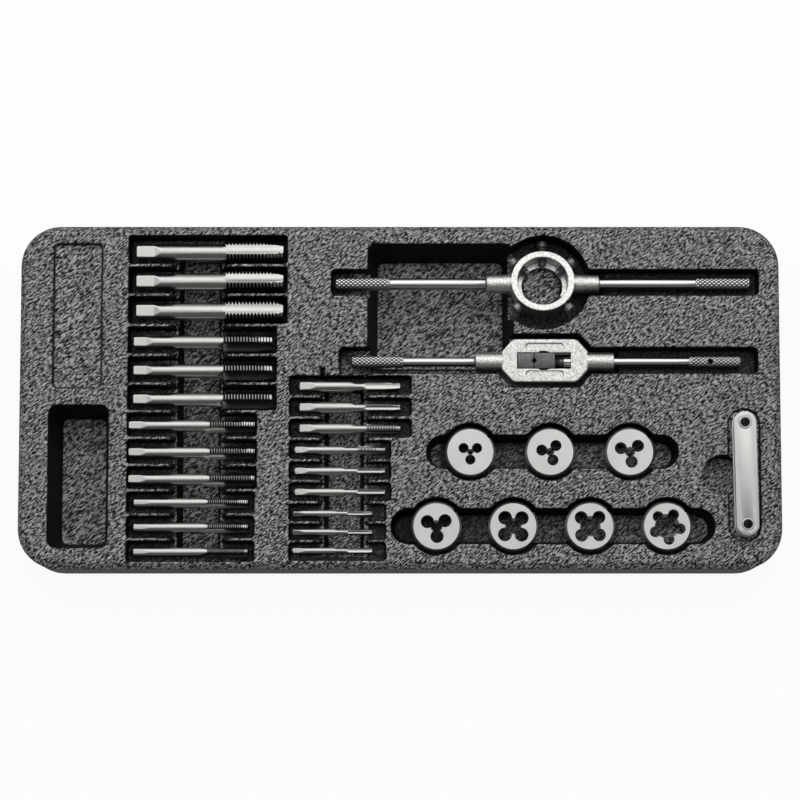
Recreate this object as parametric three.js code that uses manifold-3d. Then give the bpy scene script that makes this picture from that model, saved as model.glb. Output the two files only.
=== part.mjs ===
// Tool-drawer tray of thread-cutting tools: a thermoformed insert with hand taps, round dies,
// a die stock, a bar tap wrench and a folding screw-pitch gauge, each in its own pocket.
// Millimetres, +Z up. The origin is the middle of the tray at the level it stands on.
// X runs along the tray, Y across it, and the deck is the flat top of the tray.

import * as THREE from 'three';
import { mergeVertices } from 'three/addons/utils/BufferGeometryUtils.js';
import Module from 'manifold-3d';

const wasm = await Module();
wasm.setup();

// Tray: its length and width follow from what lies in it, with these rims round the outer pockets
const LEFT_RIM = 14.8;
const RIGHT_RIM = 18.8;
const BACK_RIM = 4.75;
const FRONT_RIM = 8.55;
const TRAY_HEIGHT = 32;
const SHEET = 2.2;
const CORNER_RADIUS = 20;
const EDGE_ROUND = 3;
const EDGE_STEPS = 2;
const CORNER_STEPS = 4;
const DECK = TRAY_HEIGHT;

// Clearances
const SEAT_GAP = 0.3;
const FIT_GAP = 0.3;
const OVERRUN = 1;

// Hand taps, by thread size. Each size comes as a set of three that differ in their lead.
const TAPS = {
  M12: {
    majorDiameter: 12, length: 74, shankDiameter: 9, squareWidth: 7, squareLength: 11, threadLength: 29,
    flutes: 4, pointLength: 0, rowPitch: 15.1, nextRow: 15.9, turnShare: 0.2375,
  },
  M10: {
    majorDiameter: 10, length: 70, shankDiameter: 7, squareWidth: 5.5, squareLength: 8.5,
    threadLength: 25, flutes: 3, pointLength: 0, rowPitch: 14.6, nextRow: 13.3, turnShare: 0.117,
  },
  M8: {
    majorDiameter: 8, length: 63, shankDiameter: 6, squareWidth: 4.9, squareLength: 8,
    threadLength: 22.5, flutes: 3, pointLength: 0, rowPitch: 13.6, nextRow: 12, turnShare: 0.1,
  },
  M6: {
    majorDiameter: 6, length: 57.5, shankDiameter: 5.2, squareWidth: 4.9, squareLength: 8,
    threadLength: 20, flutes: 3, pointLength: 2.4, rowPitch: 12.4, nextRow: 12.4, turnShare: 0.1,
  },
  M5: {
    majorDiameter: 5, length: 51, shankDiameter: 6, squareWidth: 4.9, squareLength: 8, threadLength: 17,
    flutes: 3, pointLength: 2.4, rowPitch: 10.7, nextRow: 10.9, turnShare: 0.067, neckDiameter: 3.9,
    neckLength: 8,
  },
  M4: {
    majorDiameter: 4, length: 45.5, shankDiameter: 4.5, squareWidth: 3.4, squareLength: 6.5,
    threadLength: 13.5, flutes: 3, pointLength: 1.6, rowPitch: 10.6, nextRow: 10.7, turnShare: 0.067,
    neckDiameter: 3, neckLength: 8,
  },
  M3: {
    majorDiameter: 3, length: 40, shankDiameter: 3.5, squareWidth: 2.7, squareLength: 5.5,
    threadLength: 12, flutes: 3, pointLength: 1.2, rowPitch: 9.4, nextRow: 9.4, turnShare: 0.067,
    neckDiameter: 2.3, neckLength: 7,
  },
};
const TAP_SIDES = 10;
const ROOT_SHARE = 0.5;
const FLUTE_SHARE = 0.46;
const LEAD_END_SHARE = 0.78;
const LEAD_SHARES = [0.5, 0.3, 0.15];
const POINTED_END_SHARE = 0.6;
const PLAIN_END_SHARE = 0.95;
const END_CHAMFER_SHARE = 0.1;
const SET = ['taper', 'second', 'bottoming'];

// Taps lie in two columns: four large sizes on the left, three small ones in the middle. Each size
// starts a little in from its column's left end, and its slot runs on past its end.
const LARGE_SIZES = ['M12', 'M10', 'M8', 'M6'];
const LARGE_STARTS = { M12: 3.7, M10: 2.7, M8: 0.7, M6: 2.9 };
const LARGE_ENDS = { M12: 2.2, M10: 2.1, M8: 1.1, M6: 3.4 };
const LARGE_FIRST_ROW = 7.6;
const LARGE_TROUGH = { left: 23.6, right: 47.3, depth: 20 };
const SMALL_SIZES = ['M5', 'M4', 'M3'];
const SMALL_STARTS = { M5: 4.4, M4: 2.3, M3: 1.4 };
const SMALL_ENDS = { M5: 5.6, M4: 2.9, M3: 6.8 };
const SMALL_FIRST_ROW = 5;
const SMALL_LAST_ROW_LIFT = 0.6;
const SMALL_TROUGH = { left: 16.6, right: 38.2, depth: 13 };
const TAP_SINK = 0.8;
const RIDGE = 1.7;
const COLUMN_END = 5;
const TROUGH_INSET = 4;
const TROUGH_DRAFT = 2.5;
const TROUGH_CORNER = 1.5;

// Round dies
const DIE_DIAMETER = 25;
const DIE_THICKNESS = 9;
const DIE_CHAMFER = 0.7;
const DIE_SINK = 0.8;
const DIE_SIDES = 32;
const POCKET_SIDES = 20;
const DIE_POCKET_RADIUS = 14.5;
const DIE_NOTCH = 1.1;
const DIE_NOTCH_ANGLE = 40;
const DIES = {
  M3: { coreDiameter: 2.6, flutes: 3, fluteHoleDiameter: 5.1, fluteCircleRadius: 3.9, turn: 30 },
  M4: { coreDiameter: 3.4, flutes: 3, fluteHoleDiameter: 5.6, fluteCircleRadius: 4.3, turn: 48 },
  M5: { coreDiameter: 4.3, flutes: 3, fluteHoleDiameter: 6.1, fluteCircleRadius: 5, turn: 38 },
  M6: { coreDiameter: 5.1, flutes: 3, fluteHoleDiameter: 6.6, fluteCircleRadius: 5.1, turn: 33 },
  M8: { coreDiameter: 6.9, flutes: 4, fluteHoleDiameter: 6.9, fluteCircleRadius: 5.9, turn: 44 },
  M10: { coreDiameter: 8.7, flutes: 4, fluteHoleDiameter: 6.5, fluteCircleRadius: 6.25, turn: 46 },
  M12: { coreDiameter: 10.5, flutes: 5, fluteHoleDiameter: 5.5, fluteCircleRadius: 6.6, turn: 61 },
};
const FLUTE_HOLE_SIDES = 8;
const BACK_DIES = ['M3', 'M4', 'M5'];
const BACK_DIE_PITCH = 40;
const BACK_DIE_OFFSET = 17;
const BACK_TROUGH = { before: 21.9, after: 24.2, half: 8.4 };
const FRONT_DIES = ['M6', 'M8', 'M10', 'M12'];
const FRONT_DIE_PITCH = 38.4;
const FRONT_TROUGH = { before: 22.8, after: 24, half: 8.9 };
const DIE_TROUGH_DEPTH = 15;
const DIE_TROUGH_DRAFT = 1.5;

// Die stock: a cast head with two screwed-in handles and five clamping screws
const STOCK_AXIS_DEPTH = 5;
const STOCK_ROLL = 10;
const HEAD_RADIUS = 16.1;
const HEAD_THICKNESS = 10;
const HEAD_BORE_RADIUS = 12.75;
const HEAD_LEDGE_RADIUS = 10.25;
const HEAD_LEDGE = 2;
const HEAD_SIDES = 32;
const STOCK_BOSS_REACH = 28.3;
const STOCK_BOSS_END_RADIUS = 4.5;
const STOCK_BOSS_ROOT_RADIUS = 4.9;
const STOCK_REACH = 104.6;
const STOCK_ROD_RADIUS = 3;
const STOCK_GRIP_RADIUS = 3.3;
const STOCK_GRIP = 27.3;
const ROD_SOCKET = 7;
const ROD_SIDES = 16;
const GRIP_CHAMFER = 0.5;

// Clamping screws: the pointed one at the head's split side stands out furthest
const SCREW_ANGLES = [90, 142, 38, 225, 315];
const SCREW_NAMES = ['point', 'left_back', 'right_back', 'left_front', 'right_front'];
const SCREW_RADIUS = 2;
const SCREW_TIP_RADIUS = 10.6;
const SCREW_TIP_TAPER = 1.4;
const SCREW_END_SHARE = 0.45;
const SCREW_HEAD_RADIUS = 3;
const SCREW_HEAD_HEIGHT = 3;
const SCREW_HEAD_SEAT = 17;
const POINT_SCREW_STANDS_OUT = 2.4;
const SCREW_SLOT_WIDTH = 1;
const SCREW_SLOT_DEPTH = 1.2;
const SCREW_SIDES = 10;

// Tap wrench: body casting, fixed jaw, sliding jaw, fixed handle and screw handle
const WRENCH_AXIS_DEPTH = 5;
const BODY_TIP = 21.8;
const BODY_FLAT = 16;
const BODY_HALF_WIDTH = 11.1;
const BODY_TIP_HALF_WIDTH = 4.7;
const BODY_THICKNESS = 9;
const WRENCH_BOSS_REACH = 34.7;
const WRENCH_BOSS_RADIUS = 4.8;
const WINDOW_LEFT = -13.8;
const WINDOW_RIGHT = 13;
const WINDOW_HALF_WIDTH = 4.15;
const GUIDE_DEPTH = 1.2;
const GUIDE_HEIGHT = 3;
const JAW_MEET = -5.2;
const JAW_END = 5;
const JAW_NOTCH = 1.3;
const SPINDLE_RADIUS = 2.1;
const SPINDLE_COLLAR_RADIUS = 2.5;
const SPINDLE_COLLAR = 9.4;
const WRENCH_ROD_RADIUS = 2.5;
const WRENCH_GRIP_RADIUS = 3;
const WRENCH_GRIP = 26;
const WRENCH_REACH_LEFT = 97.2;
const WRENCH_REACH_RIGHT = 98.8;
const CROSS_HOLE_RADIUS = 1.4;
const CROSS_HOLE_FROM_END = 15.5;

// Screw-pitch gauge: two cheeks on two eyelets, with leaves that fold out from either end
const GAUGE_TURN = 0.9;
const GAUGE_EYELET_SPAN = 51;
const GAUGE_HALF_WIDTH = 5.7;
const CHEEK = 1;
const EYELET_FLANGE = 0.5;
const EYELET_FLANGE_RADIUS = 3.2;
const EYELET_RADIUS = 2.7;
const EYELET_HOLE_RADIUS = 2.15;
const LEAF = 0.5;
const LEAF_GAP = 0.2;
const LEAVES = 8;
const LEAF_TO_EYELET = 6;
const LEAF_REACH = GAUGE_EYELET_SPAN - LEAF_TO_EYELET;
const LEAF_ROOT_RADIUS = 4.6;
const LEAF_HALF_WIDTH = 3.4;
const LEAF_TIP_SHARE = 0.55;
const LEAF_OVER_DECK = 0.3;
const GAUGE_SIDES = 12;
const CHEEK_ARC_STEPS = 3;

// Pockets for the long tools and the open ones
const HANDLE_SLOT_HALF = 6.6;
const HANDLE_SLOT_END = 2;
const HANDLE_SLOT_CORNER = 2;
const JAW_OPENING = 6;
const HEAD_POCKET_RADIUS = 24;
const HEAD_POCKET_FLOOR_GAP = 1;
const BODY_POCKET_GAP = 2.4;
const GAUGE_POCKET_GAP = 2.3;
const FINGER_NOTCH_RADIUS = 10;
const FINGER_NOTCH_OFFSET = 10.8;
const FINGER_NOTCH_DEPTH = 9;
const WELL_ARC_STEPS = 3;

// What lies between the pockets, from left to right and from back to front
const SPARE_WIDTH = 30.1;
const SPARE_LENGTH = 72.1;
const SPARE_FROM_FRONT = 10.45;
const SPARE_TO_TAPS = 9.4;
const COLUMN_GAP = 6.5;
const TAPS_TO_DIES = 12.6;
const DIES_TO_GAUGE = 38.8;
const DIES_FROM_FRONT = 21.35;
const DIE_ROW_PITCH = 37.4;
const DIES_TO_STOCK = 53.8;
const STOCK_FROM_BACK = 28.75;
const WRENCH_OFFSET = 0.8;
const STOCK_TO_WRENCH = 39.8;
const GAUGE_FROM_FRONT = 47.05;

// The depth of a tap column from its first row to its last
function rowSpan(sizes) {
  const depths = sizes.map((size) => (SET.length - 1) * TAPS[size].rowPitch + TAPS[size].nextRow);
  return depths.reduce((all, one) => all + one) - TAPS[sizes.at(-1)].nextRow;
}

const LARGE_WIDTH = LARGE_STARTS.M10 + TAPS.M10.length + LARGE_ENDS.M10;
const SMALL_WIDTH = SMALL_STARTS.M5 + TAPS.M5.length + SMALL_ENDS.M5;
const DIES_WIDTH = (FRONT_DIES.length - 1) * FRONT_DIE_PITCH;
const TRAY_LENGTH = LEFT_RIM + SPARE_WIDTH + SPARE_TO_TAPS + LARGE_WIDTH + COLUMN_GAP + SMALL_WIDTH
  + TAPS_TO_DIES + DIES_WIDTH + DIES_TO_GAUGE + RIGHT_RIM;
const TRAY_WIDTH = BACK_RIM + LARGE_FIRST_ROW + rowSpan(LARGE_SIZES) + FRONT_RIM;

// The places themselves, counted from the middle of the tray
const BACK = TRAY_WIDTH / 2;
const FRONT = -BACK;
const SPARE_LEFT = LEFT_RIM - TRAY_LENGTH / 2;
const LARGE_LEFT = SPARE_LEFT + SPARE_WIDTH + SPARE_TO_TAPS;
const SMALL_LEFT = LARGE_LEFT + LARGE_WIDTH + COLUMN_GAP;
const FIRST_DIE = SMALL_LEFT + SMALL_WIDTH + TAPS_TO_DIES;
const STOCK_X = FIRST_DIE + DIES_TO_STOCK;
const STOCK_Y = BACK - STOCK_FROM_BACK;
const WRENCH_X = STOCK_X + WRENCH_OFFSET;
const WRENCH_Y = STOCK_Y - STOCK_TO_WRENCH;
const GAUGE_X = FIRST_DIE + DIES_WIDTH + DIES_TO_GAUGE;
const GAUGE_Y = FRONT + GAUGE_FROM_FRONT;

// A column with its slots and trough set out from its left end and its first row
function tapColumn(sizes, left, top, firstRow, starts, ends, trough) {
  const slots = sizes.map((size) => [size, left + starts[size] + TAPS[size].length + ends[size]]);
  return {
    sizes,
    left,
    top,
    firstRow,
    slotEnds: Object.fromEntries(slots),
    tapStarts: Object.fromEntries(sizes.map((size) => [size, left + starts[size]])),
    troughLeft: left + trough.left,
    troughRight: left + trough.right,
    troughDepth: trough.depth,
  };
}

const SMALL_ROW = FRONT + FRONT_RIM + SMALL_LAST_ROW_LIFT + rowSpan(SMALL_SIZES);
const LARGE_TOP = BACK - BACK_RIM;
const LARGE_COLUMN = tapColumn(
  LARGE_SIZES, LARGE_LEFT, LARGE_TOP, LARGE_TOP - LARGE_FIRST_ROW, LARGE_STARTS, LARGE_ENDS, LARGE_TROUGH,
);
const SMALL_COLUMN = tapColumn(
  SMALL_SIZES, SMALL_LEFT, SMALL_ROW + SMALL_FIRST_ROW, SMALL_ROW, SMALL_STARTS, SMALL_ENDS, SMALL_TROUGH,
);

function dieRow(sizes, first, pitch, y, trough) {
  return {
    sizes,
    first,
    pitch,
    y,
    troughLeft: first - trough.before,
    troughRight: first + (sizes.length - 1) * pitch + trough.after,
    troughHalf: trough.half,
  };
}

const FRONT_ROW_Y = FRONT + DIES_FROM_FRONT;
const DIE_ROWS = [
  dieRow(BACK_DIES, FIRST_DIE + BACK_DIE_OFFSET, BACK_DIE_PITCH, FRONT_ROW_Y + DIE_ROW_PITCH, BACK_TROUGH),
  dieRow(FRONT_DIES, FIRST_DIE, FRONT_DIE_PITCH, FRONT_ROW_Y, FRONT_TROUGH),
];

// The open pocket between the long tools, the one for loose parts, and the recess for a plate
const CENTRE_LEFT = 88.3;
const CENTRE_RIGHT = 14.9;
const CENTRE_ABOVE_STOCK = 19.7;
const CENTRE_BELOW_WRENCH = 5;
const CENTRE_POCKET = {
  left: STOCK_X - CENTRE_LEFT,
  right: STOCK_X - CENTRE_RIGHT,
  top: STOCK_Y + CENTRE_ABOVE_STOCK,
  bottom: WRENCH_Y - CENTRE_BELOW_WRENCH,
  depth: 25,
  corner: 4,
  draft: 4.4,
};
const SPARE_POCKET = {
  left: SPARE_LEFT,
  right: SPARE_LEFT + SPARE_WIDTH,
  top: FRONT + SPARE_FROM_FRONT + SPARE_LENGTH,
  bottom: FRONT + SPARE_FROM_FRONT,
  depth: 25,
  corner: 4,
  draft: 3.6,
};
const PLATE_INSET_LEFT = 1.6;
const PLATE_INSET_RIGHT = 3.7;
const PLATE_FROM_BACK = 8.75;
const PLATE_TO_SPARE = 8.3;
const PLATE_RECESS = {
  left: SPARE_POCKET.left + PLATE_INSET_LEFT,
  right: SPARE_POCKET.right - PLATE_INSET_RIGHT,
  top: BACK - PLATE_FROM_BACK,
  bottom: SPARE_POCKET.top + PLATE_TO_SPARE,
  depth: 0.9,
  corner: 2,
  draft: 0.4,
};

// Colours and finishes
const FINISH = {
  tray: { color: 0x232425, roughness: 0.6, metalness: 0 },
  tap: { color: 0xc9c8c4, roughness: 0.3, metalness: 1 },
  die: { color: 0xbdbdba, roughness: 0.45, metalness: 0.9 },
  casting: { color: 0xb9b9b6, roughness: 0.55, metalness: 0.8 },
  handle: { color: 0xd6d6d4, roughness: 0.18, metalness: 1 },
  screw: { color: 0x2b2b2c, roughness: 0.5, metalness: 0.8 },
  jaw: { color: 0x4a4a4b, roughness: 0.5, metalness: 0.8 },
  gauge: { color: 0xc6c6c3, roughness: 0.4, metalness: 0.9 },
};

const DEGREE = Math.PI / 180;

// A closed geometry as a solid that can be joined and cut
function solidOf(geometry) {
  const bare = geometry.clone();
  bare.deleteAttribute('normal');
  bare.deleteAttribute('uv');
  const merged = mergeVertices(bare);
  const index = Array.from(merged.index.array);
  const faces = [];
  for (let i = 0; i < index.length; i += 3) {
    const [a, b, c] = index.slice(i, i + 3);
    if (a !== b && b !== c && c !== a) faces.push(a, b, c);
  }
  const vertices = new Float32Array(merged.attributes.position.array);
  const make = (triangles) => new wasm.Manifold(new wasm.Mesh({
    numProp: 3, vertProperties: vertices, triVerts: new Uint32Array(triangles),
  }));
  const made = make(faces);
  return made.volume() > 0 ? made : make(faces.reverse());
}

// A solid back as a geometry with flat faces
function geometryOf(solid) {
  const { vertProperties, triVerts } = solid.getMesh();
  const geometry = new THREE.BufferGeometry();
  geometry.setAttribute('position', new THREE.BufferAttribute(new Float32Array(vertProperties), 3));
  geometry.setIndex(new THREE.BufferAttribute(new Uint32Array(triVerts), 1));
  const flat = geometry.toNonIndexed();
  flat.computeVertexNormals();
  return flat;
}

function joined(solids) {
  return solids.reduce((all, one) => all.add(one));
}

function block(left, right, front, back, low, high) {
  const geometry = new THREE.BoxGeometry(right - left, back - front, high - low);
  geometry.translate((left + right) / 2, (front + back) / 2, (low + high) / 2);
  return solidOf(geometry);
}

// An outline pushed up from one level to another
function prism(outline, low, high, curveSegments = 1) {
  const geometry = new THREE.ExtrudeGeometry(outline, {
    depth: high - low, bevelEnabled: false, curveSegments,
  });
  geometry.translate(0, 0, low);
  return solidOf(geometry);
}

// A profile of [along, radius] pairs turned about the X axis
function turned(profile, sides) {
  const points = profile.map(([along, radius]) => new THREE.Vector2(radius, along));
  const geometry = new THREE.LatheGeometry(points, sides);
  geometry.rotateZ(-Math.PI / 2);
  return solidOf(geometry);
}

// A round bar along X
function bar(from, to, radius, sides) {
  return turned([[from, 0], [from, radius], [to, radius], [to, 0]], sides);
}

// A round bar standing along Z
function post(x, y, low, high, radius, sides) {
  const geometry = new THREE.CylinderGeometry(radius, radius, high - low, sides);
  geometry.rotateX(Math.PI / 2);
  geometry.translate(x, y, (low + high) / 2);
  return solidOf(geometry);
}

function roundedOutline(left, right, bottom, top, radius) {
  const outline = new THREE.Shape();
  outline.moveTo(left + radius, bottom);
  outline.lineTo(right - radius, bottom);
  outline.absarc(right - radius, bottom + radius, radius, -Math.PI / 2, 0, false);
  outline.lineTo(right, top - radius);
  outline.absarc(right - radius, top - radius, radius, 0, Math.PI / 2, false);
  outline.lineTo(left + radius, top);
  outline.absarc(left + radius, top - radius, radius, Math.PI / 2, Math.PI, false);
  outline.lineTo(left, bottom + radius);
  outline.absarc(left + radius, bottom + radius, radius, Math.PI, 1.5 * Math.PI, false);
  return outline;
}

function polygonOutline(points) {
  return new THREE.Shape(points.map(([x, y]) => new THREE.Vector2(x, y)));
}

// A pocket with a rounded outline whose walls lean in by the draft at the floor.
// grow gives the same pocket seen from below the sheet, larger by the sheet's thickness.
function well({ left, right, top, bottom, depth, corner, draft }, grow) {
  const low = DECK - depth - grow;
  const high = DECK + OVERRUN;
  const outline = roundedOutline(left - grow, right + grow, bottom - grow, top + grow, corner + grow);
  const geometry = new THREE.ExtrudeGeometry(outline, {
    depth: high - low, bevelEnabled: false, curveSegments: WELL_ARC_STEPS,
  });
  geometry.translate(0, 0, low);
  const middle = [(left + right) / 2, (bottom + top) / 2];
  const half = [(right - left) / 2 + grow, (top - bottom) / 2 + grow];
  const place = geometry.attributes.position;
  for (let i = 0; i < place.count; i += 1) {
    const lean = draft * (DECK - place.getZ(i)) / (depth + grow);
    const x = place.getX(i) - middle[0];
    const y = place.getY(i) - middle[1];
    place.setX(i, middle[0] + x * (half[0] - lean) / half[0]);
    place.setY(i, middle[1] + y * (half[1] - lean) / half[1]);
  }
  return solidOf(geometry);
}

// Where each tap of a column lies: its size, place in its set, row height and slot
function columnRows(column) {
  const rows = [];
  let y = column.firstRow;
  for (const size of column.sizes) {
    for (let turn = 0; turn < SET.length; turn += 1) {
      rows.push({ size, turn, y, end: column.slotEnds[size], start: column.tapStarts[size] });
      y -= turn < SET.length - 1 ? TAPS[size].rowPitch : TAPS[size].nextRow;
    }
  }
  rows.forEach((row, i) => {
    const above = i > 0 ? (rows[i - 1].y + row.y) / 2 - RIDGE / 2 : column.top;
    const last = row.y - COLUMN_END;
    row.top = above;
    row.bottom = i < rows.length - 1 ? (rows[i + 1].y + row.y) / 2 + RIDGE / 2 : last;
  });
  return rows;
}

function tapAxis(size) {
  return DECK - TAP_SINK - TAPS[size].majorDiameter / 2;
}

// A tap's slot: deep under the thread, with a step that carries the thinner shank
function tapSlot(column, row) {
  const tap = TAPS[row.size];
  const axis = tapAxis(row.size);
  const high = DECK + OVERRUN;
  const stepX = row.start + tap.length - tap.threadLength - 2 * FIT_GAP;
  const threadFloor = axis - tap.majorDiameter / 2 - SEAT_GAP;
  const shankFloor = axis - tap.shankDiameter / 2 - SEAT_GAP;
  const deep = block(stepX, row.end, row.bottom, row.top, threadFloor, high);
  const shelf = block(column.left, row.end, row.bottom, row.top, shankFloor, high);
  return tap.shankDiameter > tap.majorDiameter ? shelf : deep.add(shelf);
}

// The sheet below one size's three slots: it bridges the narrow ridges between them
function tapSlotsBelow(column, size) {
  const rows = columnRows(column).filter((row) => row.size === size);
  const tap = TAPS[size];
  const deepest = Math.max(tap.majorDiameter, tap.shankDiameter, tap.squareWidth) / 2;
  const floor = tapAxis(size) - deepest - SEAT_GAP - SHEET;
  return block(
    column.left - SHEET, rows[0].end + SHEET, rows.at(-1).bottom - SHEET, rows[0].top + SHEET,
    floor, DECK + OVERRUN,
  );
}

// The finger trough that crosses a column's slots
function tapTrough(column, grow) {
  const rows = columnRows(column);
  const trough = {
    left: column.troughLeft,
    right: column.troughRight,
    top: column.top - TROUGH_INSET,
    bottom: rows.at(-1).bottom + TROUGH_INSET,
    depth: column.troughDepth,
    corner: TROUGH_CORNER,
    draft: TROUGH_DRAFT,
  };
  return well(trough, grow);
}

function dieX(row, i) {
  return row.first + i * row.pitch;
}

function diePockets(row, grow) {
  const floor = DECK - DIE_SINK - DIE_THICKNESS - SEAT_GAP - grow;
  const wells = row.sizes.map((size, i) => (
    post(dieX(row, i), row.y, floor, DECK + OVERRUN, DIE_POCKET_RADIUS + grow, POCKET_SIDES)
  ));
  const trough = {
    left: row.troughLeft,
    right: row.troughRight,
    top: row.y + row.troughHalf,
    bottom: row.y - row.troughHalf,
    depth: DIE_TROUGH_DEPTH,
    corner: row.troughHalf - FIT_GAP,
    draft: DIE_TROUGH_DRAFT,
  };
  return [...wells, well(trough, grow)];
}

// A straight slot for one of the long tools' handles
function handleSlot(left, right, y, axis, gripRadius, grow) {
  const slot = {
    left,
    right,
    top: y + HANDLE_SLOT_HALF,
    bottom: y - HANDLE_SLOT_HALF,
    depth: DECK - axis + gripRadius + SEAT_GAP,
    corner: HANDLE_SLOT_CORNER,
    draft: 0,
  };
  return well(slot, grow);
}

// The wider, deeper middle of a handle slot, which takes a tool's bosses
function bossPocket(x, y, reach, radius, axis, grow) {
  const half = reach + BODY_POCKET_GAP + grow;
  return block(
    x - half, x + half, y - HANDLE_SLOT_HALF - grow, y + HANDLE_SLOT_HALF + grow,
    axis - radius - SEAT_GAP - grow, DECK + OVERRUN,
  );
}

function stockPockets(grow) {
  const axis = DECK - STOCK_AXIS_DEPTH;
  const roll = STOCK_ROLL * DEGREE;
  const drop = HEAD_RADIUS * Math.sin(roll) + (HEAD_THICKNESS / 2) * Math.cos(roll);
  const floor = axis - drop - HEAD_POCKET_FLOOR_GAP - grow;
  const left = STOCK_X - STOCK_REACH - HANDLE_SLOT_END;
  const right = STOCK_X + STOCK_REACH + 2 * HANDLE_SLOT_END;
  return [
    handleSlot(left, right, STOCK_Y, axis, STOCK_GRIP_RADIUS, grow),
    bossPocket(STOCK_X, STOCK_Y, STOCK_BOSS_REACH, STOCK_BOSS_ROOT_RADIUS, axis, grow),
    post(STOCK_X, STOCK_Y, floor, DECK + OVERRUN, HEAD_POCKET_RADIUS + grow, POCKET_SIDES),
  ];
}

function bodyOutline(gap) {
  const tip = BODY_TIP + gap;
  const flat = BODY_FLAT + gap / 2;
  const side = BODY_TIP_HALF_WIDTH + gap / 2;
  const edge = BODY_HALF_WIDTH + gap;
  return [
    [tip, -side], [tip, side], [flat, edge], [-flat, edge],
    [-tip, side], [-tip, -side], [-flat, -edge], [flat, -edge],
  ];
}

function wrenchPockets(grow) {
  const axis = DECK - WRENCH_AXIS_DEPTH;
  const left = WRENCH_X - WRENCH_REACH_LEFT - 3 * HANDLE_SLOT_END;
  const right = WRENCH_X + WRENCH_REACH_RIGHT + JAW_OPENING + HANDLE_SLOT_END;
  const floor = axis - BODY_THICKNESS / 2 - SEAT_GAP - grow;
  const around = bodyOutline(BODY_POCKET_GAP + grow).map(([x, y]) => [WRENCH_X + x, WRENCH_Y + y]);
  return [
    handleSlot(left, right, WRENCH_Y, axis, WRENCH_GRIP_RADIUS, grow),
    bossPocket(WRENCH_X, WRENCH_Y, WRENCH_BOSS_REACH, WRENCH_BOSS_RADIUS, axis, grow),
    prism(polygonOutline(around), floor, DECK + OVERRUN),
  ];
}

// The gauge sits so that its lowest leaf swings just clear of the deck
function gaugeBase() {
  return DECK + LEAF_OVER_DECK - LEAF_GAP - CHEEK - EYELET_FLANGE;
}

function gaugePockets(grow) {
  const half = GAUGE_HALF_WIDTH + GAUGE_POCKET_GAP;
  const pocket = {
    left: GAUGE_X - half,
    right: GAUGE_X + half,
    top: GAUGE_Y + GAUGE_EYELET_SPAN / 2 + half,
    bottom: GAUGE_Y - GAUGE_EYELET_SPAN / 2 - half,
    depth: DECK - gaugeBase() + SEAT_GAP,
    corner: half - FIT_GAP,
    draft: 0,
  };
  const notch = post(
    GAUGE_X - FINGER_NOTCH_OFFSET,
    GAUGE_Y,
    DECK - FINGER_NOTCH_DEPTH - grow,
    DECK + OVERRUN,
    FINGER_NOTCH_RADIUS + grow,
    POCKET_SIDES,
  );
  return [well(pocket, grow), notch];
}

function allPockets(grow) {
  const slots = [LARGE_COLUMN, SMALL_COLUMN].flatMap((column) => [
    ...(grow > 0
      ? column.sizes.map((size) => tapSlotsBelow(column, size))
      : columnRows(column).map((row) => tapSlot(column, row))),
    tapTrough(column, grow),
  ]);
  return joined([
    ...slots,
    ...DIE_ROWS.flatMap((row) => diePockets(row, grow)),
    ...stockPockets(grow),
    ...wrenchPockets(grow),
    ...gaugePockets(grow),
    well(CENTRE_POCKET, grow),
    well(SPARE_POCKET, grow),
    well(PLATE_RECESS, grow),
  ]);
}

// The tray's outer form, or with inset the hollow under its sheet
function trayForm(inset) {
  const halfLength = TRAY_LENGTH / 2 - inset;
  const halfWidth = TRAY_WIDTH / 2 - inset;
  const round = EDGE_ROUND - inset / 2;
  const outline = roundedOutline(
    -halfLength + round, halfLength - round, -halfWidth + round, halfWidth - round,
    CORNER_RADIUS - inset - round,
  );
  const top = DECK - inset;
  const geometry = new THREE.ExtrudeGeometry(outline, {
    depth: top, bevelThickness: round, bevelSize: round, bevelSegments: EDGE_STEPS,
    curveSegments: CORNER_STEPS,
  });
  geometry.translate(0, 0, -round);
  const floor = inset > 0 ? -OVERRUN : 0;
  const trim = block(-TRAY_LENGTH, TRAY_LENGTH, -TRAY_WIDTH, TRAY_WIDTH, -TRAY_HEIGHT, floor);
  return solidOf(geometry).subtract(trim);
}

function traySolid() {
  const hollow = trayForm(SHEET).subtract(allPockets(SHEET));
  return trayForm(0).subtract(allPockets(0)).subtract(hollow);
}

// A tap's cross-section at the thread: lands of full radius with flutes between them
function flutedOutline(radius, flutes, turnShare) {
  const points = [];
  const step = 2 * Math.PI / flutes;
  const landShares = [FLUTE_SHARE / 2, 1 / 2, 1 - FLUTE_SHARE / 2];
  const stops = [[0, ROOT_SHARE], ...landShares.map((share) => [share, 1])];
  for (let i = 0; i < flutes; i += 1) {
    for (const [share, reachShare] of stops) {
      const angle = (i + share + turnShare) * step;
      points.push([radius * reachShare * Math.cos(angle), radius * reachShare * Math.sin(angle)]);
    }
  }
  return polygonOutline(points);
}

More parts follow.
